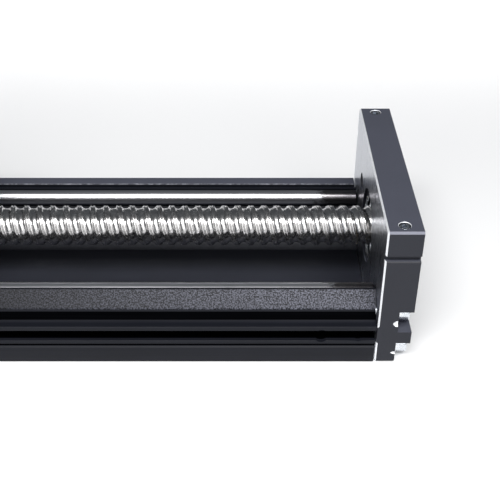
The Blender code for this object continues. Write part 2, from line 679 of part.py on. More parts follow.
def ball_nut():
    """The flanged ball nut, and a wiper at each of its ends."""
    flange_end = CARRIAGE_X + HOUSING_X[0] - GAP
    flange_start = flange_end - FLANGE_LENGTH
    high = FLANGE_HALF_HEIGHT
    side = sqrt(FLANGE_RADIUS ** 2 - high ** 2)
    start = degrees(atan2(high, side))
    left = arc(0, 0, FLANGE_RADIUS, 180 - start, 180 + start, 10)
    right = arc(0, 0, FLANGE_RADIUS, -start, start, 10)
    hole = SMALL_BOLT_RADIUS + HOLE_PLAY
    holes = [circle(y, z - AXIS_Z, hole, SMALL_STEPS) for y, z in flange_screw_places()]
    bore = SCREW_RADIUS + GAP + 0.1
    flange = extrusion("ball_nut", [left + right, circle(0, 0, bore)] + holes,
                       flange_start, flange_end, "nut_steel")
    nut_end = CARRIAGE_X + 24
    barrel = [(flange_end - 1, bore), (nut_end, bore), (nut_end, NUT_RADIUS - 0.8),
              (nut_end - 0.8, NUT_RADIUS), (flange_end - 1, NUT_RADIUS)]
    combine(flange, [turned("cutter", barrel, "nut_steel", closed=True)], "UNION")
    move(flange, 0, 0, AXIS_Z)
    wiper = [(0, bore), (2.0, bore), (2.0, 11.5), (1.6, 12.0), (0, 12.0)]
    for name, x in (("nut_wiper_free", nut_end + GAP), ("nut_wiper_drive", flange_start - 2.3)):
        move(turned(name, wiper, "wiper_plastic", steps=24, closed=True), x, 0, AXIS_Z)


def carriage_screws():
    """The four flange screws along X, and the four table screws along Z."""
    seat = CARRIAGE_X + HOUSING_X[0] - GAP - FLANGE_LENGTH - GAP
    first = None
    for number, (y, z) in enumerate(flange_screw_places(), 1):
        name = f"flange_screw_{number}"
        if first is None:
            first = cap_screw(name, SMALL_BOLT_RADIUS, 2.75, 3.0, 16.0)
            first.rotation_euler = (0, 0, pi)
            move(first, seat, y, z)
        else:
            copy(first, name, seat, y, z)
    first = None
    spots = [(CARRIAGE_X + x, side * TABLE_SCREW_Y) for x in TABLE_SCREW_X for side in (-1, 1)]
    height = TABLE_TOP - TABLE_SCREW_SEAT + GAP
    for number, (x, y) in enumerate(spots, 1):
        name = f"table_screw_{number}"
        if first is None:
            first = cap_screw(name, TABLE_SCREW_RADIUS, 3.5, 4.0, 9.5)
            first.rotation_euler = (0, -pi / 2, 0)
            move(first, x, y, height)
        else:
            copy(first, name, x, y, height)


def main():
    base_profile()
    guide_shafts()
    sensor_rail()
    free_end_block()
    drive_end_block()
    end_bolts()
    set_screws()
    ball_screw()
    bearings()
    drive_cover()
    spacer_and_lock_nut()
    rollers()
    carriage_table()
    nut_housing()
    ball_nut()
    carriage_screws()


clear_scene()
PIECES = make_collection(ASSEMBLY)
MATERIALS = {name: make_material(name) for name in FINISHES}
main()
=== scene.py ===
from math import asin, atan2, cos, exp, pi, radians, sin, sqrt, tau

import bmesh
import bpy
from mathutils import Matrix, Vector


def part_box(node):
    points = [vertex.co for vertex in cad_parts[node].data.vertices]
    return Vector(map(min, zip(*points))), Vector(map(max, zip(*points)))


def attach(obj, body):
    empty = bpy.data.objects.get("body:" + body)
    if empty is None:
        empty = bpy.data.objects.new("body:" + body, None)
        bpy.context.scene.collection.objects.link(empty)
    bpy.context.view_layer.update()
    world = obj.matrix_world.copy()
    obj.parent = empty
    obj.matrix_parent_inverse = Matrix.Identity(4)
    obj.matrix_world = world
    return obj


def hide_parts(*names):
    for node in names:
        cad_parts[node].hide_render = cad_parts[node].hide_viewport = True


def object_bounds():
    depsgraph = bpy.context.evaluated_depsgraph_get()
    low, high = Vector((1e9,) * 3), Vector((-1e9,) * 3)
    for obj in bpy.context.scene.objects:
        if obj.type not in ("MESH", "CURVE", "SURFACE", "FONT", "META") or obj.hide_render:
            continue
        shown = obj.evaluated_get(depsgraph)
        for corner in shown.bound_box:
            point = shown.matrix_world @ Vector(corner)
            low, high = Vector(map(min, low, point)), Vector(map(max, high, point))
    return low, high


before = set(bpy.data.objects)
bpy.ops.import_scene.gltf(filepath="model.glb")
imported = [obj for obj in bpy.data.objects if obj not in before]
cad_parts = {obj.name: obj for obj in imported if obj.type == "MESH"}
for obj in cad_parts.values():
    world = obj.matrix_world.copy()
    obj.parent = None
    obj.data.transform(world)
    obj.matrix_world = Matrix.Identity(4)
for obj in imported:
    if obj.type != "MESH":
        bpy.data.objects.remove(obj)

# Looks of the ball screw linear module. The pieces are made in millimetres and scaled to metres
# when they are published. Most places come from the CAD boxes. Camera, floor and lamps are in metres.
CAD_LOW, CAD_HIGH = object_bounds()
MM = 0.001


def node_box(name):
    low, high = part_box(name)
    return Vector(low) / MM, Vector(high) / MM


FREE_IN, FREE_OUT = (corner.x for corner in node_box("free_end_block"))
DRIVE_OUT, DRIVE_IN = (corner.x for corner in node_box("drive_end_block"))
HALF = node_box("free_end_block")[1].y
BLOCK_HEIGHT = node_box("free_end_block")[1].z
RAIL_START, RAIL_END = (corner.x for corner in node_box("base_profile"))
SCREW_START, SCREW_END = (corner.x for corner in node_box("ball_screw"))
TABLE_LOW, TABLE_HIGH = node_box("carriage_table")
CARRIAGE_X = (TABLE_LOW.x + TABLE_HIGH.x) / 2

# Dimensions with the same values as in part.py
AXIS_Z = 28.4
GAP = 0.3                       # clearance between two pieces
PITCH, STARTS = 5.0, 2
LEAD = PITCH * STARTS
SCREW_RADIUS = 7.5
SHAFT_RADIUS, SHAFT_Y, SHAFT_Z = 3.0, 31.4, 21.4
BORE_RADIUS = 14.0
FLOOR, LEDGE, CREST, RIB_TOP = 5.0, 14.0, 24.5, 16.0
SLOPE_TOP = 34.4
COVE_Y, COVE_Z, COVE_RADIUS = 43.8, 20.6, 4.6
FOOT_Y, FOOT_Z, FOOT_RADIUS = 38.4, 19.33, 0.95
SEAM, SLOT, MOUTH = (7.1, 8.1), (8.7, 15.0), (9.8, 14.2)
SLOT_BACK, LIP = 39.2, 1.5
BOLT_PLACES = {"upper": (37.6, 17.6), "lower": (39.0, 4.4)}
NOTCH_HEIGHTS = {"upper": (13.6, 22.5), "lower": (-1.0, 8.6)}
FREE_NOTCH, DRIVE_NOTCH = 5.0, 10.0
BOLT_RADIUS, BOLT_HEAD, BOLT_LENGTH = 1.7, 4.3, 20.0
SET_SCREW_INSET, SET_SCREW_DEPTH = 4.2, 6.3
COVER_SEAT, COVER_RADIUS, COVER_SCREW_CIRCLE = 5.0, 20.0, 16.5
SIDE_HOLE, SIDE_HOLE_RADIUS = (21.8, 34.8), 3.5
TABLE_BOTTOM = 48.5
TABLE_SCREW_X = (-8.0, 12.0)
TABLE_SCREW_Y, TABLE_SCREW_SEAT = 14.0, 5.0
MOUNT_HOLE, MOUNT_HOLE_DEPTH = 32.0, 8.0
HOUSING_X = (-13.0, 17.0)
FLANGE_RADIUS = 24.0
ROLLER_RADIUS, ROLLER_WAIST, ROLLER_HEIGHT = 7.5, 6.0, 7.0
ROLLER_OFFSET = 34.0
AXLE_RADIUS = 2.5

# This script's own dimensions. The journal and the bolt heads are a little thinner than in the CAD.
JOURNAL_RADIUS = 5.7
BOLT_HEAD_RADIUS = 3.65
TOP_CHAMFER = 0.7
SLOT_LOW = 8.6                  # just under the inside of the slot
SLOT_HOLES = (FREE_IN - 19.4, FREE_IN - 6.4)
SLOT_HOLE_Z = 11.9
SLOT_HOLE_RADII = (2.7, 2.35)
M3_HEAD = (1.5, 2.7, 3.0)       # shank radius, head radius, head length

ON_AXIS = (0, 0, AXIS_Z)
SIDES = ((-1, "front"), (1, "rear"))


# ---------------------------------------------------------------- mesh tools
def linked(name, data):
    item = bpy.data.objects.new(name, data)
    bpy.context.scene.collection.objects.link(item)
    return item


def as_mesh(name, sheet):
    """The sheet as a mesh. The sheet itself is freed."""
    mesh = bpy.data.meshes.new(name)
    sheet.to_mesh(mesh)
    sheet.free()
    return mesh


def extrude(outlines, start, end):
    """Y-Z outlines, the first one outer and the rest holes, made solid from start to end in X."""
    curve = bpy.data.curves.new("outline", "CURVE")
    curve.dimensions = "2D"
    curve.fill_mode = "BOTH"
    curve.extrude = (end - start) / 2
    for outline in outlines:
        spline = curve.splines.new("POLY")
        spline.points.add(len(outline) - 1)
        spline.use_cyclic_u = True
        for point, (y, z) in zip(spline.points, outline):
            point.co = (y, z, 0, 1)
    guide = linked("outline", curve)
    turn = Matrix(((0, 0, 1, 0), (1, 0, 0, 0), (0, 1, 0, 0), (0, 0, 0, 1)))
    sheet = evaluated(guide)
    bpy.data.objects.remove(guide)
    bmesh.ops.transform(sheet, verts=sheet.verts, matrix=Matrix.Translation(((start + end) / 2, 0, 0)) @ turn)
    return tidy(sheet)


def evaluated(item):
    bpy.context.view_layer.update()
    graph = bpy.context.evaluated_depsgraph_get()
    mesh = bpy.data.meshes.new_from_object(item.evaluated_get(graph))
    sheet = bmesh.new()
    sheet.from_mesh(mesh)
    bpy.data.meshes.remove(mesh)
    return sheet


def tidy(sheet, flat=0.2):
    bmesh.ops.remove_doubles(sheet, verts=sheet.verts, dist=0.001)
    bmesh.ops.dissolve_limit(sheet, angle_limit=radians(flat), verts=sheet.verts, edges=sheet.edges)
    bmesh.ops.recalc_face_normals(sheet, faces=sheet.faces)
    return sheet


def lathe(profile, axis="X", steps=96, closed=False):
    """A profile of (place along the axis, radius), turned about X or Z."""
    sheet = bmesh.new()
    if axis == "X":
        points = [Vector((a, r, 0)) for a, r in profile]
    else:
        points = [Vector((r, 0, a)) for a, r in profile]
    verts = [sheet.verts.new(p) for p in points]
    pairs = list(zip(verts, verts[1:])) + ([(verts[-1], verts[0])] if closed else [])
    edges = [sheet.edges.new(pair) for pair in pairs]
    bmesh.ops.spin(sheet, geom=verts + edges, cent=(0, 0, 0), angle=tau, steps=steps,
                   axis=(1, 0, 0) if axis == "X" else (0, 0, 1), use_merge=True)
    bmesh.ops.remove_doubles(sheet, verts=sheet.verts, dist=0.0005)
    bmesh.ops.recalc_face_normals(sheet, faces=sheet.faces)
    return sheet


def block(low, high):
    sheet = bmesh.new()
    size = [b - a for a, b in zip(low, high)]
    middle = [(a + b) / 2 for a, b in zip(low, high)]
    bmesh.ops.create_cube(sheet, size=1.0, matrix=Matrix.Translation(middle) @ Matrix.Diagonal((*size, 1)))
    return sheet


def shifted(sheet, x=0.0, y=0.0, z=0.0, turn=None):
    if turn is not None:
        bmesh.ops.transform(sheet, verts=sheet.verts, matrix=turn)
    bmesh.ops.translate(sheet, verts=sheet.verts, vec=(x, y, z))
    return sheet


def joined(sheets):
    """Several closed shapes in one sheet. The others are freed."""
    whole = bmesh.new()
    for sheet in sheets:
        mesh = as_mesh("part", sheet)
        whole.from_mesh(mesh)
        bpy.data.meshes.remove(mesh)
    return whole


def boolean(sheet, tools, operation="DIFFERENCE"):
    holders = [linked("part", as_mesh("part", part)) for part in (sheet, joined(tools))]
    step = holders[0].modifiers.new("step", "BOOLEAN")
    step.operation, step.solver, step.use_self = operation, "EXACT", True
    step.object = holders[1]
    result = evaluated(holders[0])
    for item in holders:
        bpy.data.objects.remove(item)
    return tidy(result)


def soften(sheet, width, angle=30, segments=2, keep=lambda edge: True, material=-1):
    """Round every edge that is sharper than the angle, where keep allows it."""
    limit = radians(angle)
    edges = [e for e in sheet.edges if len(e.link_faces) == 2 and e.calc_face_angle(0) > limit and keep(e)]
    bmesh.ops.bevel(sheet, geom=edges, offset=width, segments=segments, profile=0.5, affect="EDGES",
                    clamp_overlap=True, material=material)
    return sheet


def paint(sheet, index, test):
    for face in sheet.faces:
        if test(face, face.calc_center_median()):
            face.material_index = index


def shared_mesh(name, sheet, materials, sharp=32):
    """A mesh in metres with its materials, smooth apart from its sharp edges."""
    bmesh.ops.scale(sheet, vec=(MM, MM, MM), verts=sheet.verts)
    bmesh.ops.recalc_face_normals(sheet, faces=sheet.faces)
    mesh = as_mesh(name, sheet)
    for material in materials:
        mesh.materials.append(material)
    mesh.shade_smooth()
    mesh.set_sharp_from_angle(angle=radians(sharp))
    return mesh


def publish(name, sheet, materials, body, nodes=(), at=(0, 0, 0), sharp=32):
    """Make one piece from a sheet in millimetres, and tie it to its body and CAD nodes."""
    return stand(name, shared_mesh(name, sheet, materials, sharp), body, nodes, at)


def stand(name, mesh, body, nodes=(), at=(0, 0, 0), turn=(0, 0, 0)):
    item = linked(name, mesh)
    item.location = Vector(at) * MM
    item.rotation_euler = turn
    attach(item, body)
    if nodes:
        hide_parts(*nodes)
    return item


def circle(y, z, radius, steps=96, start=0.0):
    turns = [start + tau * i / steps for i in range(steps)]
    return [(y + radius * cos(a), z + radius * sin(a)) for a in turns]


def arc(y, z, radius, start, end, steps=12):
    angles = [radians(start + (end - start) * i / steps) for i in range(steps + 1)]
    return [(y + radius * cos(a), z + radius * sin(a)) for a in angles]


def cylinder(start, end, radius, axis, steps):
    return lathe([(start, 0), (start, radius), (end, radius), (end, 0)], axis, steps)


def polar(radius, degrees):
    return radius * cos(radians(degrees)), radius * sin(radians(degrees))


def rod(start, end, y, z, radius, steps=48):
    return shifted(cylinder(start, end, radius, "X", steps), 0, y, z)


def upright(x, y, low, high, radius, steps=48):
    return shifted(cylinder(low, high, radius, "Z", steps), x, y, 0)


def turned_to_y(sheet, x, y, z):
    """What was lathed about X, turned to lie along Y."""
    return shifted(sheet, x, y, z, Matrix.Rotation(pi / 2, 4, "Z"))


def split_at(sheet, place, normal, clear_outer=False):
    geometry = sheet.verts[:] + sheet.edges[:] + sheet.faces[:]
    bmesh.ops.bisect_plane(sheet, geom=geometry, plane_co=place, plane_no=normal, clear_outer=clear_outer)


# ---------------------------------------------------------------- materials
def set_inputs(node, values):
    for socket, value in values.items():
        node.inputs[socket].default_value = value


class Surface:
    """A Principled material with helpers for its procedural detail."""

    def __init__(self, name, metallic, roughness, specular=0.5):
        self.material = bpy.data.materials.new(name)
        self.material.use_nodes = True
        tree = self.material.node_tree
        self.nodes, self.links = tree.nodes, tree.links
        self.shader = tree.nodes["Principled BSDF"]
        set_inputs(self.shader, {"Metallic": metallic, "Roughness": roughness,
                                 "Base Color": (0.5, 0.5, 0.5, 1), "Specular IOR Level": specular})
        self.place = self.nodes.new("ShaderNodeTexCoord").outputs["Object"]
        self.relief = None

    def noise(self, scale, detail=4.0, stretch=(1, 1, 1), roughness=0.55):
        """Noise with about scale features per millimetre, stretched along an axis."""
        mapping = self.nodes.new("ShaderNodeMapping")
        set_inputs(mapping, {"Scale": stretch})
        self.links.new(self.place, mapping.inputs["Vector"])
        noise = self.nodes.new("ShaderNodeTexNoise")
        set_inputs(noise, {"Scale": scale / MM, "Detail": detail, "Roughness": roughness})
        self.links.new(mapping.outputs["Vector"], noise.inputs["Vector"])
        return noise.outputs["Fac"]

    def ramp(self, value, low, high, dark, light):
        """Map value from low..high onto two colours or two numbers."""
        ramp = self.nodes.new("ShaderNodeValToRGB")
        for end, place, tone in zip(ramp.color_ramp.elements, (low, high), (dark, light)):
            end.position = place
            end.color = (*tone, 1) if isinstance(tone, tuple) else (tone, tone, tone, 1)
        self.links.new(value, ramp.inputs["Fac"])
        return ramp.outputs["Color"]

    def blend(self, amount, a, b):
        mix = self.nodes.new("ShaderNodeMix")
        mix.data_type = "RGBA"
        for socket, value in ((mix.inputs[0], amount), (mix.inputs[6], a), (mix.inputs[7], b)):
            if isinstance(value, (tuple, float)):
                socket.default_value = (*value, 1) if isinstance(value, tuple) else value
            else:
                self.links.new(value, socket)
        return mix.outputs[2]

    def along(self, low, high):
        """0 to 1 along X, from low to high in millimetres."""
        split = self.nodes.new("ShaderNodeSeparateXYZ")
        self.links.new(self.place, split.inputs[0])
        reach = self.nodes.new("ShaderNodeMapRange")
        set_inputs(reach, {"From Min": low * MM, "From Max": high * MM})
        self.links.new(split.outputs["X"], reach.inputs["Value"])
        return reach.outputs["Result"]

    def colour(self, socket):
        self.links.new(socket, self.shader.inputs["Base Color"])

    def rough(self, socket):
        self.links.new(socket, self.shader.inputs["Roughness"])

    def bump(self, height, distance, strength=1.0):
        node = self.nodes.new("ShaderNodeBump")
        set_inputs(node, {"Strength": strength, "Distance": distance * MM})
        self.links.new(height, node.inputs["Height"])
        if self.relief is not None:
            self.links.new(self.relief, node.inputs["Normal"])
        self.relief = node.outputs["Normal"]
        self.links.new(self.relief, self.shader.inputs["Normal"])


def anodised(name, dark, light, worn, specular):
    """Black anodised extrusion: faint die lines along X under a fine matt etch."""
    s = Surface(name, 0.0, 0.42, specular)
    lines = s.noise(1.6, 3, (0.008, 1, 1))
    etch = s.noise(9.0, 2)
    cloud = s.noise(0.05, 3)
    s.colour(s.blend(s.ramp(cloud, 0.35, 0.7, 0.0, 0.35), s.ramp(lines, 0.3, 0.7, dark, light), worn))
    s.rough(s.ramp(lines, 0.25, 0.8, 0.36, 0.5))
    s.bump(lines, 0.006, 0.5)
    s.bump(etch, 0.004, 0.6)
    return s.material


def grained_slope():
    """The coarse blasted band along the outer slope of the profile's walls, with painted light that makes it
    lighter towards its free end.
    """
    s = Surface("grained_slope", 0.0, 0.5, 0.2)
    grain = s.noise(2.1, 3, roughness=0.7)
    fine = s.noise(7.0, 2)
    near = s.ramp(grain, 0.45, 0.57, (0.006, 0.0065, 0.009), (0.124, 0.127, 0.158))
    far = s.ramp(grain, 0.45, 0.57, (0.001, 0.0011, 0.0015), (0.018, 0.019, 0.026))
    # Painted light: the band's tone ramps from dark at the drive end to light near the free end.
    s.colour(s.blend(s.along(0.0, FREE_IN - 25), far, near))
    s.rough(s.ramp(fine, 0.3, 0.7, 0.42, 0.62))
    s.bump(grain, 0.09, 0.8)
    s.bump(fine, 0.02, 0.6)
    return s.material


def satin_coating(name, dark, light, worn):
    """Grey satin anodising on the milled parts."""
    s = Surface(name, 0.0, 0.46, 0.26)
    fine = s.noise(7.0, 3)
    cloud = s.noise(0.06, 4)
    base = s.ramp(fine, 0.3, 0.72, dark, light)
    s.colour(s.blend(s.ramp(cloud, 0.4, 0.72, 0.0, 0.3), base, worn))
    s.rough(s.ramp(fine, 0.3, 0.7, 0.42, 0.54))
    s.bump(fine, 0.006, 0.55)
    return s.material


def raw_aluminium():
    """Bare milled aluminium, with fine cutter streaks along Z."""
    s = Surface("raw_milled_aluminium", 1.0, 0.3)
    streak = s.noise(2.2, 4, (1, 1, 0.03))
    cloud = s.noise(0.07, 3)
    base = s.ramp(streak, 0.25, 0.78, (0.46, 0.48, 0.525), (0.56, 0.58, 0.63))
    s.colour(s.blend(s.ramp(cloud, 0.4, 0.75, 0.0, 0.25), base, (0.41, 0.43, 0.48)))
    s.rough(s.ramp(streak, 0.3, 0.75, 0.24, 0.33))
    s.bump(streak, 0.002, 0.3)
    return s.material


def bright_cut():
    """Freshly cut bare aluminium, on chamfers and in scars."""
    s = Surface("bright_cut_edge", 0.35, 0.45)
    grain = s.noise(1.5, 3)
    s.colour(s.ramp(grain, 0.3, 0.7, (0.80, 0.82, 0.86), (0.93, 0.94, 0.96)))
    s.rough(s.ramp(grain, 0.3, 0.7, 0.38, 0.52))
    s.bump(grain, 0.01, 0.4)
    return s.material


def worn_edge():
    """An edge where the black coat is worn thin in places."""
    s = Surface("worn_edge", 0.3, 0.4)
    wear = s.noise(0.9, 4, (0.6, 1, 1), 0.7)
    s.colour(s.ramp(wear, 0.42, 0.62, (0.10, 0.105, 0.125), (0.42, 0.43, 0.48)))
    s.rough(s.ramp(wear, 0.3, 0.7, 0.5, 0.36))
    s.bump(wear, 0.01, 0.4)
    return s.material


def chrome_shaft():
    """Hard chromed shaft, faintly marked along X, with ragged dark staining near its free end that turns
    solid towards the end block, where it is painted shade and a painted reflection of the block.
    """
    s = Surface("chromed_shaft", 1.0, 0.2)
    streak = s.noise(0.9, 4, (0.02, 1, 1))
    ragged = s.noise(0.35, 5, (0.6, 1, 1), 0.7)
    base = s.ramp(streak, 0.3, 0.75, (0.68, 0.68, 0.71), (0.80, 0.80, 0.83))
    # Ragged staining that becomes solid dark over the last millimetres before the end block: real stains
    # further out, painted shade and reflection of the block next to it.
    stain_and_plate_shade_reach = s.blend(s.along(FREE_IN - 26, FREE_IN - 4), ragged, (1.0, 1.0, 1.0))
    stain_and_plate_shade = s.ramp(stain_and_plate_shade_reach, 0.70, 0.80, 0.0, 0.88)
    s.colour(s.blend(stain_and_plate_shade, base, (0.075, 0.065, 0.065)))
    s.rough(s.ramp(streak, 0.3, 0.75, 0.26, 0.34))
    s.bump(streak, 0.001, 0.2)
    return s.material


def rolled_screw():
    """Rolled ball screw: bright steel with a thin oil film and faint tool marks round the groove."""
    s = Surface("rolled_screw_steel", 1.0, 0.25)
    film = s.noise(0.5, 3, (1, 1, 1), 0.5)
    marks = s.noise(3.0, 3, (1, 0.3, 0.3))
    base = s.ramp(film, 0.3, 0.72, (0.54, 0.53, 0.53), (0.72, 0.715, 0.71))
    s.colour(s.blend(s.ramp(marks, 0.35, 0.75, 0.0, 0.2), base, (0.36, 0.35, 0.35)))
    s.rough(s.ramp(film, 0.3, 0.75, 0.2, 0.3))
    s.bump(marks, 0.003, 0.3)
    return s.material


def steel(name, dark, light, low_rough, high_rough, scale=1.2, stretch=(1, 1, 1)):
    """Ground or plated steel, differing by colour, roughness and grain direction."""
    s = Surface(name, 1.0, (low_rough + high_rough) / 2)
    grain = s.noise(scale, 4, stretch)
    s.colour(s.ramp(grain, 0.3, 0.72, dark, light))
    s.rough(s.ramp(grain, 0.3, 0.75, low_rough, high_rough))
    s.bump(grain, 0.004, 0.4)
    return s.material


def plastic(name, dark, light):
    """Moulded or pressed matt material, such as the wipers and the nut's deflectors."""
    s = Surface(name, 0.0, 0.5)
    grain = s.noise(4.0, 3)
    s.colour(s.ramp(grain, 0.3, 0.7, dark, light))
    s.rough(s.ramp(grain, 0.3, 0.7, 0.42, 0.6))
    s.bump(grain, 0.02, 0.4)
    return s.material


EXTRUSION = anodised("black_anodised_extrusion", (0.0065, 0.0072, 0.0105), (0.0105, 0.0115, 0.0165),
                     (0.005, 0.0056, 0.008), 0.14)
# A lighter copy of the extrusion's coat for the channel's up-facing floor: painted light.
CHANNEL_FLOOR_PAINTED_LIGHT = anodised("black_anodised_channel_floor_painted_light", (0.018, 0.019, 0.026), (0.028, 0.030, 0.040),
                         (0.014, 0.015, 0.020), 0.22)
# A near-black copy of the extrusion's coat for the cove, the T-slot and the side groove: painted shade.
RECESS_PAINTED_SHADE = anodised("black_anodised_painted_recess_shade", (0.0008, 0.0009, 0.0012), (0.0016, 0.0017, 0.0023),
                  (0.0007, 0.0008, 0.001), 0.0)
GRAIN = grained_slope()
COATING = satin_coating("dark_grey_satin", (0.013, 0.0143, 0.020), (0.021, 0.0222, 0.030),
                        (0.012, 0.013, 0.018))
# A lighter copy of the grey satin for faces that look up: painted light on the tops.
TOP_PAINTED_LIGHT_COATING = satin_coating("grey_satin_painted_top_light", (0.053, 0.056, 0.074), (0.076, 0.080, 0.103),
                            (0.050, 0.054, 0.069))
# A much lighter copy of the grey satin for the blocks' top chamfers: a painted highlight where the chamfer
# catches the light.
CHAMFER_PAINTED_HIGHLIGHT = satin_coating("satin_chamfer_painted_highlight", (0.14, 0.145, 0.18), (0.21, 0.215, 0.26),
                                (0.13, 0.135, 0.17))
RAW = raw_aluminium()
BRIGHT = bright_cut()
WORN_EDGE = worn_edge()
CHROME = chrome_shaft()
SCREW_STEEL = rolled_screw()
ZINC = steel("zinc_plated_steel", (0.60, 0.63, 0.68), (0.88, 0.90, 0.93), 0.16, 0.34, 1.6)
GROUND = steel("ground_bearing_steel", (0.50, 0.51, 0.53), (0.72, 0.73, 0.75), 0.12, 0.26, 1.4)
NUT_STEEL = steel("ground_nut_steel", (0.42, 0.42, 0.43), (0.66, 0.66, 0.67), 0.16, 0.32, 1.1, (1, 0.3, 0.3))
BLACKENED = steel("blackened_spring_steel", (0.035, 0.035, 0.04), (0.10, 0.10, 0.11), 0.28, 0.45, 2.0)
BRASS = steel("stamped_brass", (0.52, 0.38, 0.17), (0.76, 0.58, 0.30), 0.24, 0.40, 2.0)
WIPER = plastic("wiper_felt_black", (0.020, 0.020, 0.022), (0.048, 0.048, 0.052))
DEFLECTOR = plastic("deflector_green", (0.03, 0.16, 0.09), (0.05, 0.24, 0.14))


# ---------------------------------------------------------------- base
def profile_half():
    """Half of the U section, from its underside round to its floor, with two fine ribs on the slot's back."""
    edge = HALF
    half = arc(edge - 0.2, 0.2, 0.2, 270, 360, 4)
    half += [(edge, 6.7), (edge - 0.15, 6.85), (edge - 0.8, SEAM[0]), (edge - 0.8, SEAM[1])]
    half += [(edge - 0.15, 8.3)]
    half += [(edge, 8.45)] + arc(edge - 0.25, 9.55, 0.25, 0, 90, 3) + [(edge - LIP, MOUTH[0])]
    half += [(edge - LIP, SLOT[0]), (SLOT_BACK, SLOT[0])]
    half += [(SLOT_BACK, 10.9), (39.45, 11.2), (39.8, 11.3), (39.45, 11.5), (SLOT_BACK, 11.8)]
    half += [(SLOT_BACK, 12.6), (39.45, 12.9), (39.8, 13.0), (39.45, 13.1), (SLOT_BACK, 13.4)]
    half += [(SLOT_BACK, SLOT[1]), (edge - LIP, SLOT[1]), (edge - LIP, MOUTH[1])]
    half += arc(edge - 0.25, 14.45, 0.25, 270, 360, 3)
    half += arc(edge - 0.3, RIB_TOP - 0.3, 0.3, 0, 90, 4)
    half += arc(COVE_Y, COVE_Z, COVE_RADIUS, 270, 196, 16)
    half += arc(FOOT_Y, FOOT_Z, FOOT_RADIUS, 0, 45, 5)
    half += arc(SLOPE_TOP - 0.15, CREST - 0.4, 0.4, 46, 90, 4)
    half += arc(SHAFT_Y, SHAFT_Z, SHAFT_RADIUS + GAP, 58, -95, 28)
    half += [(30.4, 17.8), (30.2, 17.5), (27.6, LEDGE), (20.3, LEDGE), (19.9, LEDGE - 0.2)]
    half += [(19.7, LEDGE - 0.6), (19.7, FLOOR + 2.6), (17.1, FLOOR)]
    return half


def in_shaded_recess(face, centre):
    """Inside the cove, the T-slot or the side groove, where hardly any light gets. These faces take a
    near-black copy of the coat as painted shade.
    """
    cove = abs(centre.y) < HALF - 3 and 16.6 < centre.z < 18.5
    slot = abs(centre.y) < HALF - 1.4 and SLOT_LOW < centre.z < 15.1
    groove = abs(centre.y) < HALF - 0.1 and 7.0 < centre.z < 8.2
    return abs(centre.y) > 39 and (cove or slot or groove)


def base_profile():
    half = profile_half()
    outline = half + [(-y, z) for y, z in reversed(half)]
    sheet = extrude([outline], RAIL_START, RAIL_END)
    paint(sheet, 1, lambda f, c: 35.0 < abs(c.y) < 39.4 and c.z > 19.3 and abs(f.normal.x) < 0.1)
    # Painted light: the channel floor's up-facing faces take the lighter copy of the coat.
    paint(sheet, 3, lambda f, c: abs(c.y) < 28 and c.z < LEDGE + 0.5 and f.normal.z > 0.3)
    # Painted shade: the cove, slot and groove faces take the near-black copy of the coat.
    paint(sheet, 4, in_shaded_recess)
    holes = [turned_to_y(cylinder(-HALF - 1, -38.6, radius, "X", 40), x, 0, SLOT_HOLE_Z)
             for x, radius in zip(SLOT_HOLES, SLOT_HOLE_RADII)]
    sheet = boolean(sheet, holes)

    def cut_rim(edge):
        ends = [abs(face.normal.x) > 0.9 for face in edge.link_faces]
        return any(ends) and edge.verts[0].co.z < SLOT_LOW and abs(edge.verts[0].co.y) > 40

    soften(sheet, 0.25, 60, 1, cut_rim, 2)
    paint(sheet, 2, lambda f, c: abs(f.normal.x) > 0.5 and not RAIL_START + 0.5 < c.x < RAIL_END - 0.5)
    publish("base_profile_detailed", sheet, [EXTRUSION, GRAIN, BRIGHT, CHANNEL_FLOOR_PAINTED_LIGHT, RECESS_PAINTED_SHADE], "base",
            ["base_profile"])


def guide_shafts():
    start, end = RAIL_START, RAIL_END
    profile = [(start, 0), (start, 2.3), (start + 0.15, 2.6), (start + 0.5, SHAFT_RADIUS - 0.04),
               (start + 0.8, SHAFT_RADIUS), (end - 0.8, SHAFT_RADIUS), (end - 0.5, SHAFT_RADIUS - 0.04),
               (end - 0.15, 2.6), (end, 2.3), (end, 0)]
    for side, side_name in SIDES:
        node = "guide_shaft_" + side_name
        publish(node + "_chromed", lathe(profile), [CHROME], "base", [node],
                (0, side * SHAFT_Y, SHAFT_Z))


def sensor_rail():
    low, high = node_box("rear_sensor_rail")
    outline = [(HALF - 0.6, RIB_TOP + 0.5), (HALF - 0.2, RIB_TOP + 0.9), (HALF - 0.2, 22.7),
               (HALF - 0.5, high.z), (40.1, high.z), (39.8, 22.7), (39.8, 20.9)]
    in_cove = 4.0                # radius, clear of the profile's cove
    outline += arc(COVE_Y, COVE_Z, in_cove, 185, 262, 12)
    sheet = extrude([outline], low.x, high.x)
    soften(sheet, 0.28, 30, 1, lambda e: all(v.co.z > high.z - 0.5 and v.co.y < 40.3 for v in e.verts), 1)
    paint(sheet, 2, lambda f, c: abs(f.normal.x) > 0.9)
    # Painted light: the rail's top face takes the lighter copy of the coat.
    paint(sheet, 3, lambda f, c: f.normal.z > 0.9)
    publish("sensor_rail", sheet, [EXTRUSION, WORN_EDGE, RAW, TOP_PAINTED_LIGHT_COATING], "base", ["rear_sensor_rail"])


def slot_screws():
    """Two grub screws in the front slot's back wall, near the free end."""
    for number, x in enumerate(SLOT_HOLES, 1):
        cup = lathe([(0, 0), (0, 0.5), (-0.35, 0.95), (-0.35, 1.5), (0.1, 1.7), (0.5, 1.7), (0.5, 0)],
                    steps=36)
        turned_to_y(cup, 0, 0, 0)
        publish(f"slot_screw_{number}", cup, [BLACKENED], "base", (), (x, -39.3, SLOT_HOLE_Z))


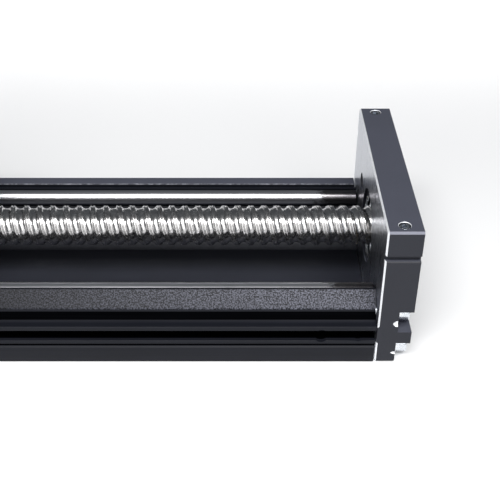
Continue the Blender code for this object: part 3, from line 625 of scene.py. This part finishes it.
# ---------------------------------------------------------------- end blocks
def block_outline():
    groove = [(HALF, 43.5), (HALF - 0.45, 43.85), (HALF - 1.5, 43.95), (HALF - 1.5, 45.65),
              (HALF - 0.2, 45.9), (HALF, 46.05)]
    right = [(HALF - 0.5, 0), (HALF, 0.5)] + groove + [(HALF, BLOCK_HEIGHT - TOP_CHAMFER)]
    right += [(HALF - TOP_CHAMFER, BLOCK_HEIGHT)]
    return right + [(-y, z) for y, z in reversed(right)]


def notch(side, name, outer, outward, depth):
    """The open-sided counterbore of one end bolt."""
    start, end = sorted((outer - outward * depth, outer + outward))
    low, high = NOTCH_HEIGHTS[name]
    middle, reach = (low + high) / 2, (high - low) / 2
    outline = [(HALF + 1, low), (HALF + 1, high)] + arc(BOLT_PLACES[name][0], middle, reach, 90, 270, 20)
    return extrude([[(side * a, b) for a, b in outline]], start, end)


def breakout(side, name, outer, outward, depth):
    """The pointed scar that the bolt's drill leaves on the block's side, just inside the notch."""
    z, radius = BOLT_PLACES[name][1] - 0.2, 1.35 if name == "upper" else 0.7
    places = [outer - outward * (depth + d) for d in (-0.3, 0.9, 2.1)]
    cone = lathe(list(zip([places[0], *places], (0, radius, radius - 0.1, 0))), steps=32)
    return shifted(cone, 0, side * (HALF + 0.25), z)


def end_block(name, outer, inner, depth, cuts):
    """One end block. The coated plate has a bare inner face, bores and chamfers."""
    outward = 1 if outer > inner else -1
    holes = [circle(*SIDE_HOLE, SIDE_HOLE_RADIUS, 48)] if name == "free_end_block" else []
    sheet = extrude([block_outline()] + holes, min(outer, inner), max(outer, inner))
    middle = (inner + outer) / 2
    tools = list(cuts)
    for side in (-1, 1):
        for place, (y, z) in BOLT_PLACES.items():
            tools.append(notch(side, place, outer, outward, depth))
            tools.append(breakout(side, place, outer, outward, depth))
            tools.append(rod(*sorted((outer + outward, inner - outward)), side * y, z, 1.8, 32))
        tools.append(upright(middle, side * (HALF - SET_SCREW_INSET), BLOCK_HEIGHT - SET_SCREW_DEPTH,
                             BLOCK_HEIGHT + 1, 2.05, 40))
    sheet = boolean(sheet, tools)
    for height in (SLOT_LOW, RIB_TOP + 0.2):
        split_at(sheet, (0, 0, height), (0, 0, 1))

    def bare(face, centre):
        return face.normal.x * outward < -0.9 and abs(centre.x - inner) < 0.05

    def in_scar(face, centre):
        reach = (outer - centre.x) * outward
        off_side = abs(centre.y) > HALF - 1.3 and centre.z < 22
        return reach > depth - 0.2 and off_side and 0.02 < abs(face.normal.x) < 0.98

    def inner_rim(edge):
        """The plate's outline on its inner face, apart from where the profile's rib covers it."""
        ends = [v.co for v in edge.verts]
        on_outline = all(abs(p.x - inner) < 0.01 and (abs(p.y) > HALF - 1 or p.z > BLOCK_HEIGHT - 1)
                         for p in ends)
        height = (ends[0].z + ends[1].z) / 2
        return on_outline and not SLOT_LOW < height < RIB_TOP + 0.2

    def top_rim(edge):
        points = [v.co for v in edge.verts]
        return all(abs(p.z - BLOCK_HEIGHT) < 0.01 and
                   sqrt((p.x - middle) ** 2 + (abs(p.y) - HALF + SET_SCREW_INSET) ** 2) < 2.2 for p in points)

    def notch_rim(edge):
        return all(abs(abs(v.co.y) - HALF) < 0.01 and (outer - v.co.x) * outward < depth + 0.01
                   and v.co.z < 23.5 for v in edge.verts) and abs(edge.verts[0].co.x - edge.verts[1].co.x) > 1

    # Painted light: up-facing faces take the lighter copy of the grey satin.
    paint(sheet, 3, lambda f, c: f.normal.z > 0.9)
    # Painted highlight: the top chamfer faces take the much lighter copy of the grey satin.
    paint(sheet, 4, lambda f, c: 0.5 < f.normal.z < 0.9 and c.z > BLOCK_HEIGHT - 1)
    paint(sheet, 1, bare)
    paint(sheet, 2, in_scar)
    soften(sheet, 0.65, 30, 1, inner_rim, 2)
    soften(sheet, 0.15, 30, 1, top_rim, 2)
    soften(sheet, 0.25, 60, 1, notch_rim, 2)
    soften(sheet, 0.15, 60, 2, lambda e: all(abs(v.co.x - outer) < 0.01 for v in e.verts))
    publish(name + "_machined", sheet, [COATING, RAW, BRIGHT, TOP_PAINTED_LIGHT_COATING, CHAMFER_PAINTED_HIGHLIGHT], "base", [name],
            sharp=28)


def end_blocks():
    """Both blocks with their bores. The free one has a circlip groove, the other a cover's seat."""
    bore = BORE_RADIUS + 0.1
    free = [rod(FREE_IN - 1, FREE_OUT - 1.5, 0, AXIS_Z, bore, 128),
            rod(FREE_IN, FREE_OUT + 1, 0, AXIS_Z, 10.5, 96),
            rod(FREE_IN + 0.6, FREE_IN + 2.0, 0, AXIS_Z, BORE_RADIUS + 0.9, 128)]
    end_block("free_end_block", FREE_OUT, FREE_IN, FREE_NOTCH, free)
    seat = DRIVE_OUT + COVER_SEAT
    drive = [rod(DRIVE_OUT - 1, seat, 0, AXIS_Z, COVER_RADIUS + GAP, 128),
             rod(DRIVE_OUT, DRIVE_IN - 2, 0, AXIS_Z, bore, 128),
             rod(seat, DRIVE_IN + 1, 0, AXIS_Z, 11.0, 96)]
    drive += [rod(seat - 1, seat + 9, y, AXIS_Z + z, 1.6, 32) for y, z in cover_screw_places()]
    end_block("drive_end_block", DRIVE_OUT, DRIVE_IN, DRIVE_NOTCH, drive)


# ---------------------------------------------------------------- fasteners
def cap_screw(radius, head_radius, head, length):
    """A socket cap screw along X with a knurled head, its seat at the origin, its shank towards -X."""
    e = 0.12 * head_radius
    profile = [(-length, 0), (-length, radius - 0.5), (-length + 0.5, radius), (-0.3, radius),
               (0, radius + 0.15), (0, head_radius - 0.15), (0.12, head_radius), (0.5, head_radius)]
    profile += [(head - e - 0.25, head_radius), (head - e, head_radius - 0.06),
                (head - 0.3 * e, head_radius - 0.5 * e), (head, head_radius - 1.2 * e), (head, 0)]
    sheet = lathe(profile, steps=72)
    for vert in sheet.verts:
        around = sqrt(vert.co.y ** 2 + vert.co.z ** 2)
        turn = round(atan2(vert.co.z, vert.co.y) / tau * 72)
        if turn % 2 and abs(around - head_radius) < 0.01 and 0.2 < vert.co.x < head - e:
            vert.co.y *= 1 - 0.13 / head_radius
            vert.co.z *= 1 - 0.13 / head_radius
    hexagon = extrude([circle(0, 0, head_radius * 0.5, 6)], head * 0.4, head + 1)
    cone = lathe([(head * 0.25, 0), (head * 0.41, head_radius * 0.4), (head * 0.41, 0)], steps=24)
    rim = lathe([(head - 0.2, 0), (head - 0.2, head_radius * 0.43), (head + 0.1, head_radius * 0.56),
                 (head + 0.1, 0)], steps=48)
    return boolean(sheet, [hexagon, cone, rim])


def end_bolts():
    mesh = shared_mesh("end_bolt", cap_screw(BOLT_RADIUS, BOLT_HEAD_RADIUS, BOLT_HEAD, BOLT_LENGTH), [ZINC])
    seats = {"free": (FREE_OUT - FREE_NOTCH + GAP, 0.0), "drive": (DRIVE_OUT + DRIVE_NOTCH - GAP, pi)}
    for end, (seat, turn) in seats.items():
        for side, side_name in SIDES:
            for place, (y, z) in BOLT_PLACES.items():
                node = f"end_bolt_{end}_{side_name}_{place}"
                stand(node + "_zinc", mesh, "base", [node], (seat, side * y, z), (0, 0, turn))


def set_screws():
    """Grub screws with a hex socket, just under the top faces."""
    profile = [(-5.5, 0), (-5.5, 1.2), (-4.7, 1.95), (-0.35, 1.95), (-0.05, 1.65), (-0.05, 0)]
    hexagon = lathe([(-2.4, 0), (-2.2, 1.15), (1, 1.15), (1, 0)], "Z", 6)
    mesh = shared_mesh("set_screw", boolean(lathe(profile, "Z", 48), [hexagon]), [ZINC])
    for end, middle in (("free", (FREE_IN + FREE_OUT) / 2), ("drive", (DRIVE_IN + DRIVE_OUT) / 2)):
        for side, side_name in SIDES:
            node = f"set_screw_{end}_{side_name}"
            spot = (middle, side * (HALF - SET_SCREW_INSET), BLOCK_HEIGHT - GAP)
            stand(node + "_hex", mesh, "base", [node], spot)


# ---------------------------------------------------------------- screw and bearings
THREAD_START = DRIVE_IN - 1.0
THREAD_END = FREE_IN + 1.2
GROOVE_START = THREAD_START - 2.15
GROOVE_HALF_WIDTH = 1.7


def thread_radius(u):
    """The rolled thread's radius at u mm along one pitch: a creased land, then a ball groove."""
    ball, crease = 1.86, 0.36
    reach = abs(u - PITCH / 2)
    if reach < GROOVE_HALF_WIDTH:
        depth = sqrt(ball ** 2 - reach ** 2) - sqrt(ball ** 2 - GROOVE_HALF_WIDTH ** 2)
        return SCREW_RADIUS - 0.08 - depth
    from_land = min(u, PITCH - u)
    return SCREW_RADIUS - crease * exp(-(from_land / 0.2) ** 2) - 0.08 * (from_land / 0.8) ** 6


def thread_stations():
    """Places along one lead, closer together where the profile bends."""
    land = [0.0, 0.08, 0.17, 0.27, 0.38, 0.5, 0.62, 0.72, 0.8]
    groove = [PITCH / 2 + GROOVE_HALF_WIDTH * sin(pi * (i / 14 - 0.5)) for i in range(1, 14)]
    pitch = land + groove + [PITCH - u for u in reversed(land[1:])]
    return [start * PITCH + u for start in range(STARTS) for u in pitch] + [LEAD]


def thread_body(steps=96):
    """The threaded length: the lead's profile swept round and along, then cut flat at both ends."""
    stations = thread_stations()
    turns = int((THREAD_END - THREAD_START) / LEAD) + 3
    first = GROOVE_START + PITCH / 2 - LEAD
    sheet = bmesh.new()
    rows = []
    for i in range(turns * steps + 1):
        angle = tau * i / steps
        offset = first + LEAD * i / steps
        row = []
        for u in stations:
            r = thread_radius(u % PITCH)
            row.append(sheet.verts.new((offset + u, r * cos(angle), r * sin(angle))))
        rows.append(row)
    for a, b in zip(rows, rows[1:]):
        for j in range(len(stations) - 1):
            sheet.faces.new((a[j], a[j + 1], b[j + 1], b[j]))
    bmesh.ops.remove_doubles(sheet, verts=sheet.verts, dist=0.0005)
    for place, normal in ((THREAD_START, (-1, 0, 0)), (THREAD_END, (1, 0, 0))):
        split_at(sheet, (place, 0, 0), normal, True)
    rims = [e for e in sheet.edges if len(e.link_faces) == 1]
    bmesh.ops.holes_fill(sheet, edges=rims, sides=0)
    bmesh.ops.recalc_face_normals(sheet, faces=sheet.faces)
    return sheet


def ball_screw():
    lock = node_box("lock_nut")[0].x - 1
    drive = [(SCREW_START, 0), (SCREW_START, 4.4), (SCREW_START + 0.6, 5.0), (lock, 5.0), (lock + 0.1, 5.3),
             (lock + 0.4, JOURNAL_RADIUS), (DRIVE_IN - 2.3, JOURNAL_RADIUS), (DRIVE_IN - 2.3, 7.0),
             (DRIVE_IN - 1.9, 7.4), (THREAD_START + 0.01, 7.4), (THREAD_START + 0.01, 0)]
    free = [(THREAD_END - 0.01, 0), (THREAD_END - 0.01, 7.1), (THREAD_END + 0.6, 6.9),
            (THREAD_END + 0.9, 6.9), (THREAD_END + 0.9, JOURNAL_RADIUS),
            (FREE_IN + 10.5, JOURNAL_RADIUS), (FREE_IN + 10.5, 5.2),
            (FREE_IN + 11.3, 5.2), (FREE_IN + 11.3, 5.5), (SCREW_END, 5.2), (SCREW_END, 1.6),
            (SCREW_END - 1.6, 0)]
    sheet = joined([lathe(drive), lathe(free), thread_body()])
    paint(sheet, 1, lambda f, c: c.x < THREAD_START or c.x > THREAD_END)
    publish("ball_screw_threaded", sheet, [SCREW_STEEL, GROUND], "screw", ["ball_screw"],
            ON_AXIS)


def bearing_ring(node, edge, race, race_outside):
    """A bearing ring with its ball race and chamfers. Its edge is the radius away from the race."""
    low, high = node_box(node)
    a, b, middle = low.x, high.x, (low.x + high.x) / 2
    ball, depth, corner = 1.6, 0.5, 0.2
    away = 1 if race_outside else -1
    sweep = []
    for degrees in range(-60, 61, 12):
        t = radians(degrees)
        sweep.append((middle + ball * sin(t), race + away * (ball * cos(t) - ball + depth)))
    chamfer = 2 * corner
    back = [(b, race + away * corner), (b, edge - away * chamfer), (b - chamfer, edge), (a + chamfer, edge),
            (a, edge - away * chamfer), (a, race + away * corner)]
    return lathe([(a + corner, race), *sweep, (b - corner, race), *back], steps=128, closed=True)


def ball_cage(node):
    """The bearing's balls, with a wavy brass ribbon cage on each side of them."""
    low, high = node_box(node)
    middle = (low.x + high.x) / 2
    count, segments, rings = 9, 24, 14
    ball_radius, ball_circle = 1.45, 10.0
    parts = []
    for i in range(count):
        ball = bmesh.new()
        bmesh.ops.create_uvsphere(ball, u_segments=segments, v_segments=rings, radius=ball_radius)
        turn = tau * i / count
        parts.append(shifted(ball, middle, ball_circle * cos(turn), ball_circle * sin(turn)))
    sheet = joined(parts + [cage_ribbon(middle, count)])
    for number, face in enumerate(sheet.faces):
        face.material_index = 0 if number < count * segments * rings else 1
    return sheet


def cage_ribbon(middle, count, steps=216):
    """Two thin bands that arch over each ball and lie close together between the balls."""
    ribbon = bmesh.new()
    rows = []
    for i in range(steps):
        turn = tau * i / steps
        arch = 1.2 * sqrt(max(0.0, cos(count * turn)))
        corners = [(arch + 0.08, 9.55), (arch + 0.28, 9.55), (arch + 0.28, 10.45), (arch + 0.08, 10.45)]
        rows.append([[ribbon.verts.new((middle + side * x, r * cos(turn), r * sin(turn))) for side in (1, -1)]
                     for x, r in corners])
    for row, following in zip(rows, rows[1:] + rows[:1]):
        for half in (0, 1):
            for j in range(4):
                k = (j + 1) % 4
                ribbon.faces.new((row[j][half], row[k][half], following[k][half], following[j][half]))
    bmesh.ops.recalc_face_normals(ribbon, faces=ribbon.faces)
    return ribbon


def bearings():
    rings = (("outer", "base", BORE_RADIUS - 0.15, 11.8), ("inner", "screw", 6.0, 8.2))
    for prefix in ("free_bearing", "drive_bearing_inner", "drive_bearing_outer"):
        for ring, body, edge, race in rings:
            node = f"{prefix}_{ring}_ring"
            sheet = bearing_ring(node, edge, race, ring == "outer")
            publish(f"{prefix}_{ring}_race", sheet, [GROUND], body, [node], ON_AXIS)
        publish(prefix + "_balls", ball_cage(prefix + "_ball_cage"), [GROUND, BRASS], prefix + "_balls",
                [prefix + "_ball_cage"], ON_AXIS)


def retaining_rings():
    """The internal circlip with its two eyelets, and the journal's external one."""
    low, high = node_box("bore_circlip")
    band = arc(0, 0, 14.5, 104, 436, 80) + arc(0, 0, 12.6, 436, 104, 80)
    spots = [polar(11.9, degrees) for degrees in (75, 105)]
    eyes = [extrude([circle(*spot, 1.6, 32)], low.x, high.x) for spot in spots]
    sheet = boolean(extrude([band], low.x, high.x), eyes, "UNION")
    holes = [rod(low.x - 1, high.x + 1, *spot, 0.65, 24) for spot in spots]
    sheet = soften(boolean(sheet, holes), 0.1, 60, 1)
    publish("bore_circlip_spring", sheet, [GROUND], "base", ["bore_circlip"], ON_AXIS)
    low, high = node_box("journal_circlip")
    band = arc(0, 0, 7.5, -55, 235, 64) + arc(0, 0, 5.55, 235, -55, 64)
    sheet = soften(extrude([band], low.x, high.x), 0.06, 60, 1)
    publish("journal_circlip_spring", sheet, [BLACKENED], "screw", ["journal_circlip"],
            ON_AXIS)


def cover_screw_places():
    return [polar(COVER_SCREW_CIRCLE, degrees) for degrees in (45, 135, 225, 315)]


def drive_cover():
    low, high = node_box("bearing_cover")
    profile = [(low.x, 9.5), (low.x, 12.0), (low.x + 0.6, 12.4), (low.x + 0.6, 12.9), (low.x, 13.3),
               (low.x, 19.5), (low.x + 0.5, COVER_RADIUS), (high.x, COVER_RADIUS), (high.x, 9.5)]
    holes = [rod(low.x - 1, high.x + 1, y, z, 1.7, 32) for y, z in cover_screw_places()]
    sheet = boolean(lathe(profile, steps=128, closed=True), holes)
    publish("bearing_cover_turned", sheet, [COATING], "base", ["bearing_cover"], ON_AXIS)
    mesh = shared_mesh("cover_screw", cap_screw(*M3_HEAD, 11.0), [ZINC])
    for number, (y, z) in enumerate(cover_screw_places(), 1):
        node = f"cover_screw_{number}"
        spot = (low.x - GAP, y, AXIS_Z + z)
        stand(node + "_zinc", mesh, "base", [node], spot, (0, 0, pi))


def lock_nut():
    """A slotted lock nut and the spacer behind it, turning with the screw."""
    low, high = node_box("lock_nut")
    profile = [(low.x, 6.2), (low.x, 10.0), (low.x + 0.7, 10.75), (high.x - 0.4, 10.75), (high.x, 10.3),
               (high.x, 6.2)]
    slots = []
    for turn in range(4):
        slot = block((low.x - 1, 9.2, -1.6), (high.x + 1, 12, 1.6))
        slots.append(shifted(slot, turn=Matrix.Rotation(turn * pi / 2, 4, "X")))
    sheet = boolean(lathe(profile, steps=96, closed=True), slots)
    soften(sheet, 0.12, 50, 1)
    publish("lock_nut_slotted", sheet, [BLACKENED], "screw", ["lock_nut"], ON_AXIS)
    low, high = node_box("bearing_spacer")
    profile = [(low.x, 6.0), (low.x, 7.9), (low.x + 0.3, 8.2), (high.x - 0.3, 8.2), (high.x, 7.9),
               (high.x, 6.0)]
    publish("bearing_spacer_ground", lathe(profile, closed=True), [GROUND], "screw", ["bearing_spacer"],
            ON_AXIS)


# ---------------------------------------------------------------- carriage
def roller_spots():
    waist_y = SHAFT_Y - SHAFT_RADIUS - GAP - ROLLER_WAIST
    for end, x in (("drive", -ROLLER_OFFSET), ("free", ROLLER_OFFSET)):
        for side, side_name in SIDES:
            yield f"{side_name}_{end}", CARRIAGE_X + x, side * waist_y


def rollers():
    """Grooved track rollers with shields, and their axle screws."""
    groove = [(z, ROLLER_WAIST + SHAFT_RADIUS - sqrt(SHAFT_RADIUS ** 2 - z ** 2))
              for z in [2.2 - 0.2 * i for i in range(23)]]
    half = ROLLER_HEIGHT / 2
    wheel = [(-half, 5.6), (-half, 7.1), (-half + 0.35, ROLLER_RADIUS), (-2.45, ROLLER_RADIUS)]
    wheel += [*reversed(groove), (2.45, ROLLER_RADIUS), (half - 0.35, ROLLER_RADIUS), (half, 7.1)]
    wheel += [(half, 5.6), (half - 0.3, 5.4), (half - 0.3, 4.5), (half, 4.3), (half, 2.8)]
    wheel += [(-half, 2.8), (-half, 4.3), (-half + 0.3, 4.5), (-half + 0.3, 5.4)]
    axle = [(-half - 2.3, 0), (-half - 2.3, 3.4), (-half - 2.0, 3.85), (-half - 0.4, 3.95),
            (-half - GAP, 3.8), (-half - GAP, AXLE_RADIUS), (14.0, AXLE_RADIUS), (14.0, 0)]
    hexagon = lathe([(-half - 3, 0), (-half - 3, 1.75), (-half - 0.7, 1.75), (-half - 0.5, 0)], "Z", 6)
    pin = boolean(lathe(axle, "Z", 64), [hexagon])
    wheel_mesh = shared_mesh("roller", lathe(wheel, "Z", closed=True), [GROUND])
    pin_mesh = shared_mesh("roller_axle", pin, [ZINC])
    for label, x, y in roller_spots():
        roller = "roller_" + label
        axle_node = "roller_axle_" + label
        stand(roller + "_grooved", wheel_mesh, roller, [roller], (x, y, SHAFT_Z))
        stand(axle_node + "_screw", pin_mesh, "carriage", [axle_node], (x, y, SHAFT_Z))


def table_screw_places():
    return [(CARRIAGE_X + x, side * TABLE_SCREW_Y) for x in TABLE_SCREW_X for side in (-1, 1)]


def carriage_table():
    top, bottom = TABLE_HIGH.z, TABLE_LOW.z
    plate = block((TABLE_LOW.x, TABLE_LOW.y, TABLE_BOTTOM), (TABLE_HIGH.x, TABLE_HIGH.y, top))
    bosses = [upright(x, y, bottom, TABLE_BOTTOM + 2, 6.5, 64) for _, x, y in roller_spots()]
    sheet = boolean(plate, bosses, "UNION")
    tools = [upright(x, y, bottom - 1, bottom + 11.5, AXLE_RADIUS + 0.15) for _, x, y in roller_spots()]
    for spot in table_screw_places():
        tools.append(upright(*spot, TABLE_BOTTOM - 1, top + 1, 2.2))
        tools.append(upright(*spot, top - TABLE_SCREW_SEAT, top + 1, 4.2, 64))
    for x in (-MOUNT_HOLE, MOUNT_HOLE):
        for y in (-MOUNT_HOLE, MOUNT_HOLE):
            tools.append(upright(CARRIAGE_X + x, y, top - MOUNT_HOLE_DEPTH, top + 1, 2.5))
    for side in (-1, 1):
        y = side * TABLE_HIGH.y
        tools.append(block((TABLE_LOW.x - 1, y - 0.6, top - 4.4), (TABLE_HIGH.x + 1, y + 0.6, top - 3.2)))
    sheet = boolean(sheet, tools)

    def hole_rim(edge):
        x, y = edge.verts[0].co.x - CARRIAGE_X, edge.verts[0].co.y
        return abs(edge.verts[0].co.z - top) < 0.01 and abs(x) < 36 and abs(y) < 36

    soften(sheet, 0.3, 50, 1, lambda e: all(abs(v.co.z - top) < 0.01 for v in e.verts) and hole_rim(e), 1)
    soften(sheet, 0.5, 50, 2, lambda e: all(v.co.z > TABLE_BOTTOM - 0.01 for v in e.verts) and not hole_rim(e)
           and max(abs(e.verts[0].co.y), abs(e.verts[0].co.x - CARRIAGE_X)) > 41.9)
    publish("carriage_table_milled", sheet, [COATING, RAW], "carriage", ["carriage_table"])


def nut_housing():
    low, high = node_box("nut_housing")
    sheet = soften(block(low, high), 0.8, 30, 3)
    tools = [rod(low.x - 1, high.x + 1, 0, AXIS_Z, BORE_RADIUS + 0.2, 128)]
    tools += [rod(low.x - 1, low.x + 7, y, z, 1.6, 32) for y, z in flange_screw_places()]
    tools += [upright(*spot, TABLE_BOTTOM - 6, TABLE_BOTTOM + 1, 1.8) for spot in table_screw_places()]
    for side in (-1, 1):
        front, back = sorted((side * high.y, side * (high.y - 1.2)))
        tools.append(block((low.x + 6, front, 16), (high.x - 6, back, 40)))
    sheet = boolean(sheet, tools)
    publish("nut_housing_milled", sheet, [COATING], "carriage", ["nut_housing"])


def flange_screw_places():
    return [(sy * 14.8, AXIS_Z + sz * 12.0) for sy in (-1, 1) for sz in (-1, 1)]


def ball_nut():
    """The flanged ball nut: flats on the flange, a barrel with ball return deflectors, two wipers."""
    low, high = node_box("ball_nut")
    flange_end = CARRIAGE_X + HOUSING_X[0] - GAP
    start = asin((high.z - low.z) / 2 / FLANGE_RADIUS) * 180 / pi
    outline = arc(0, 0, FLANGE_RADIUS, 180 - start, 180 + start, 40)
    outline += arc(0, 0, FLANGE_RADIUS, -start, start, 40)
    bore = SCREW_RADIUS + 0.4
    sheet = soften(extrude([outline], low.x, flange_end), 0.4, 50, 2)
    barrel = lathe([(flange_end - 1, 0), (flange_end - 1, BORE_RADIUS), (high.x - 0.8, BORE_RADIUS),
                    (high.x, BORE_RADIUS - 0.8), (high.x, 0)], steps=128)
    sheet = boolean(sheet, [barrel], "UNION")
    tools = [rod(low.x - 1, high.x + 1, 0, 0, bore, 96)]
    tools += [rod(low.x - 1, flange_end + 1, y, z - AXIS_Z, 1.7, 32) for y, z in flange_screw_places()]
    tools.append(rod(low.x - 1, low.x + 0.8, 0, 16.5, 2.6, 32))
    sheet = boolean(sheet, tools)
    plugs = []
    for turn in (20, 140, 260):
        pill = soften(block((-2.6, -1.6, BORE_RADIUS - 1.2), (2.6, 1.6, BORE_RADIUS)), 1.0, 50, 4)
        plugs.append(shifted(pill, high.x - 3.6, 0, 0, Matrix.Rotation(radians(turn), 4, "X")))
    plug = joined(plugs)
    paint(plug, 1, lambda f, c: True)
    publish("ball_nut_ground", joined([sheet, plug]), [NUT_STEEL, DEFLECTOR], "carriage", ["ball_nut"],
            ON_AXIS)
    profile = [(0, bore + 0.05), (2.0, bore + 0.05), (2.0, 11.3), (1.7, 11.8), (1.3, 12.0), (0.3, 12.0),
               (0, 11.7)]
    for name in ("nut_wiper_free", "nut_wiper_drive"):
        start = node_box(name)[0].x
        publish(name + "_felt", lathe(profile, closed=True), [WIPER], "carriage", [name],
                (start, 0, AXIS_Z))


def carriage_screws():
    """The nut's flange screws and the table's screws. Each kind shares one mesh."""
    seat = CARRIAGE_X + HOUSING_X[0] - 9.6
    flange_spots = [(seat, y, z) for y, z in flange_screw_places()]
    table_spots = [(*spot, TABLE_HIGH.z - TABLE_SCREW_SEAT + GAP) for spot in table_screw_places()]
    kinds = {"flange_screw": (cap_screw(*M3_HEAD, 16.0), flange_spots, (0, 0, pi)),
             "table_screw": (cap_screw(1.7, 3.4, 4.0, 9.5), table_spots, (0, -pi / 2, 0))}
    for kind, (sheet, spots, turn) in kinds.items():
        mesh = shared_mesh(kind, sheet, [ZINC])
        for number, spot in enumerate(spots, 1):
            node = f"{kind}_{number}"
            stand(node + "_zinc", mesh, "carriage", [node], spot, turn)


# ---------------------------------------------------------------- camera, floor and light
def camera():
    """Looks down from the front at the free end."""
    below_level = 35.3           # degrees
    data = bpy.data.cameras.new("camera")
    data.lens = 62.9
    item = linked("camera", data)
    item.location = (0.09622, -0.27656, 0.21271)
    item.rotation_euler = (radians(90 - below_level), 0, 0)
    bpy.context.scene.camera = item


def softbox(name, place, aim, size, power, spread=180):
    """A rectangular lamp. With a small spread, in degrees, it lights only what lies straight ahead."""
    data = bpy.data.lights.new(name, "AREA")
    data.shape = "RECTANGLE"
    data.size, data.size_y = size
    data.energy = power
    data.spread = radians(spread)
    item = linked(name, data)
    item.location = place
    item.rotation_euler = (Vector(aim) - Vector(place)).to_track_quat("-Z", "Y").to_euler()
    item.visible_camera = False


def studio():
    """A pale floor, a faint sky, two softboxes on the module and one that lights the floor behind it."""
    sheet = bmesh.new()
    bmesh.ops.create_grid(sheet, x_segments=1, y_segments=1, size=4.0)
    mesh = as_mesh("studio_floor", sheet)
    floor = linked("studio_floor", mesh)
    below_feet = 0.0002
    floor.location = (0, 0, CAD_LOW.z - below_feet)
    surface = Surface("pale_floor", 0.0, 0.95)
    surface.colour(surface.ramp(surface.noise(0.002, 2), 0.3, 0.7, (0.88, 0.88, 0.885), (0.91, 0.91, 0.91)))
    mesh.materials.append(surface.material)

    world = bpy.data.worlds.new("studio")
    world.use_nodes = True
    set_inputs(world.node_tree.nodes["Background"], {"Color": (0.86, 0.92, 1.0, 1), "Strength": 0.10})
    bpy.context.scene.world = world
    bpy.context.scene.view_settings.view_transform = "Standard"
    module = (0.08, 0.0, 0.02)
    softbox("front_panel", (0.10, -0.75, 0.55), module, (1.1, 1.1), 7.0)
    softbox("high_softbox", (0.10, -0.42, 0.80), module, (0.9, 0.24), 8.5)
    softbox("floor_panel", (0.10, 0.36, 0.50), (0.10, 0.36, 0.0), (1.2, 0.24), 0.8, 40)


def main():
    for make in (camera, base_profile, guide_shafts, sensor_rail, slot_screws, end_blocks, end_bolts,
                 set_screws, ball_screw, bearings, retaining_rings, drive_cover, lock_nut, rollers,
                 carriage_table, nut_housing, ball_nut, carriage_screws, studio):
        make()


main()
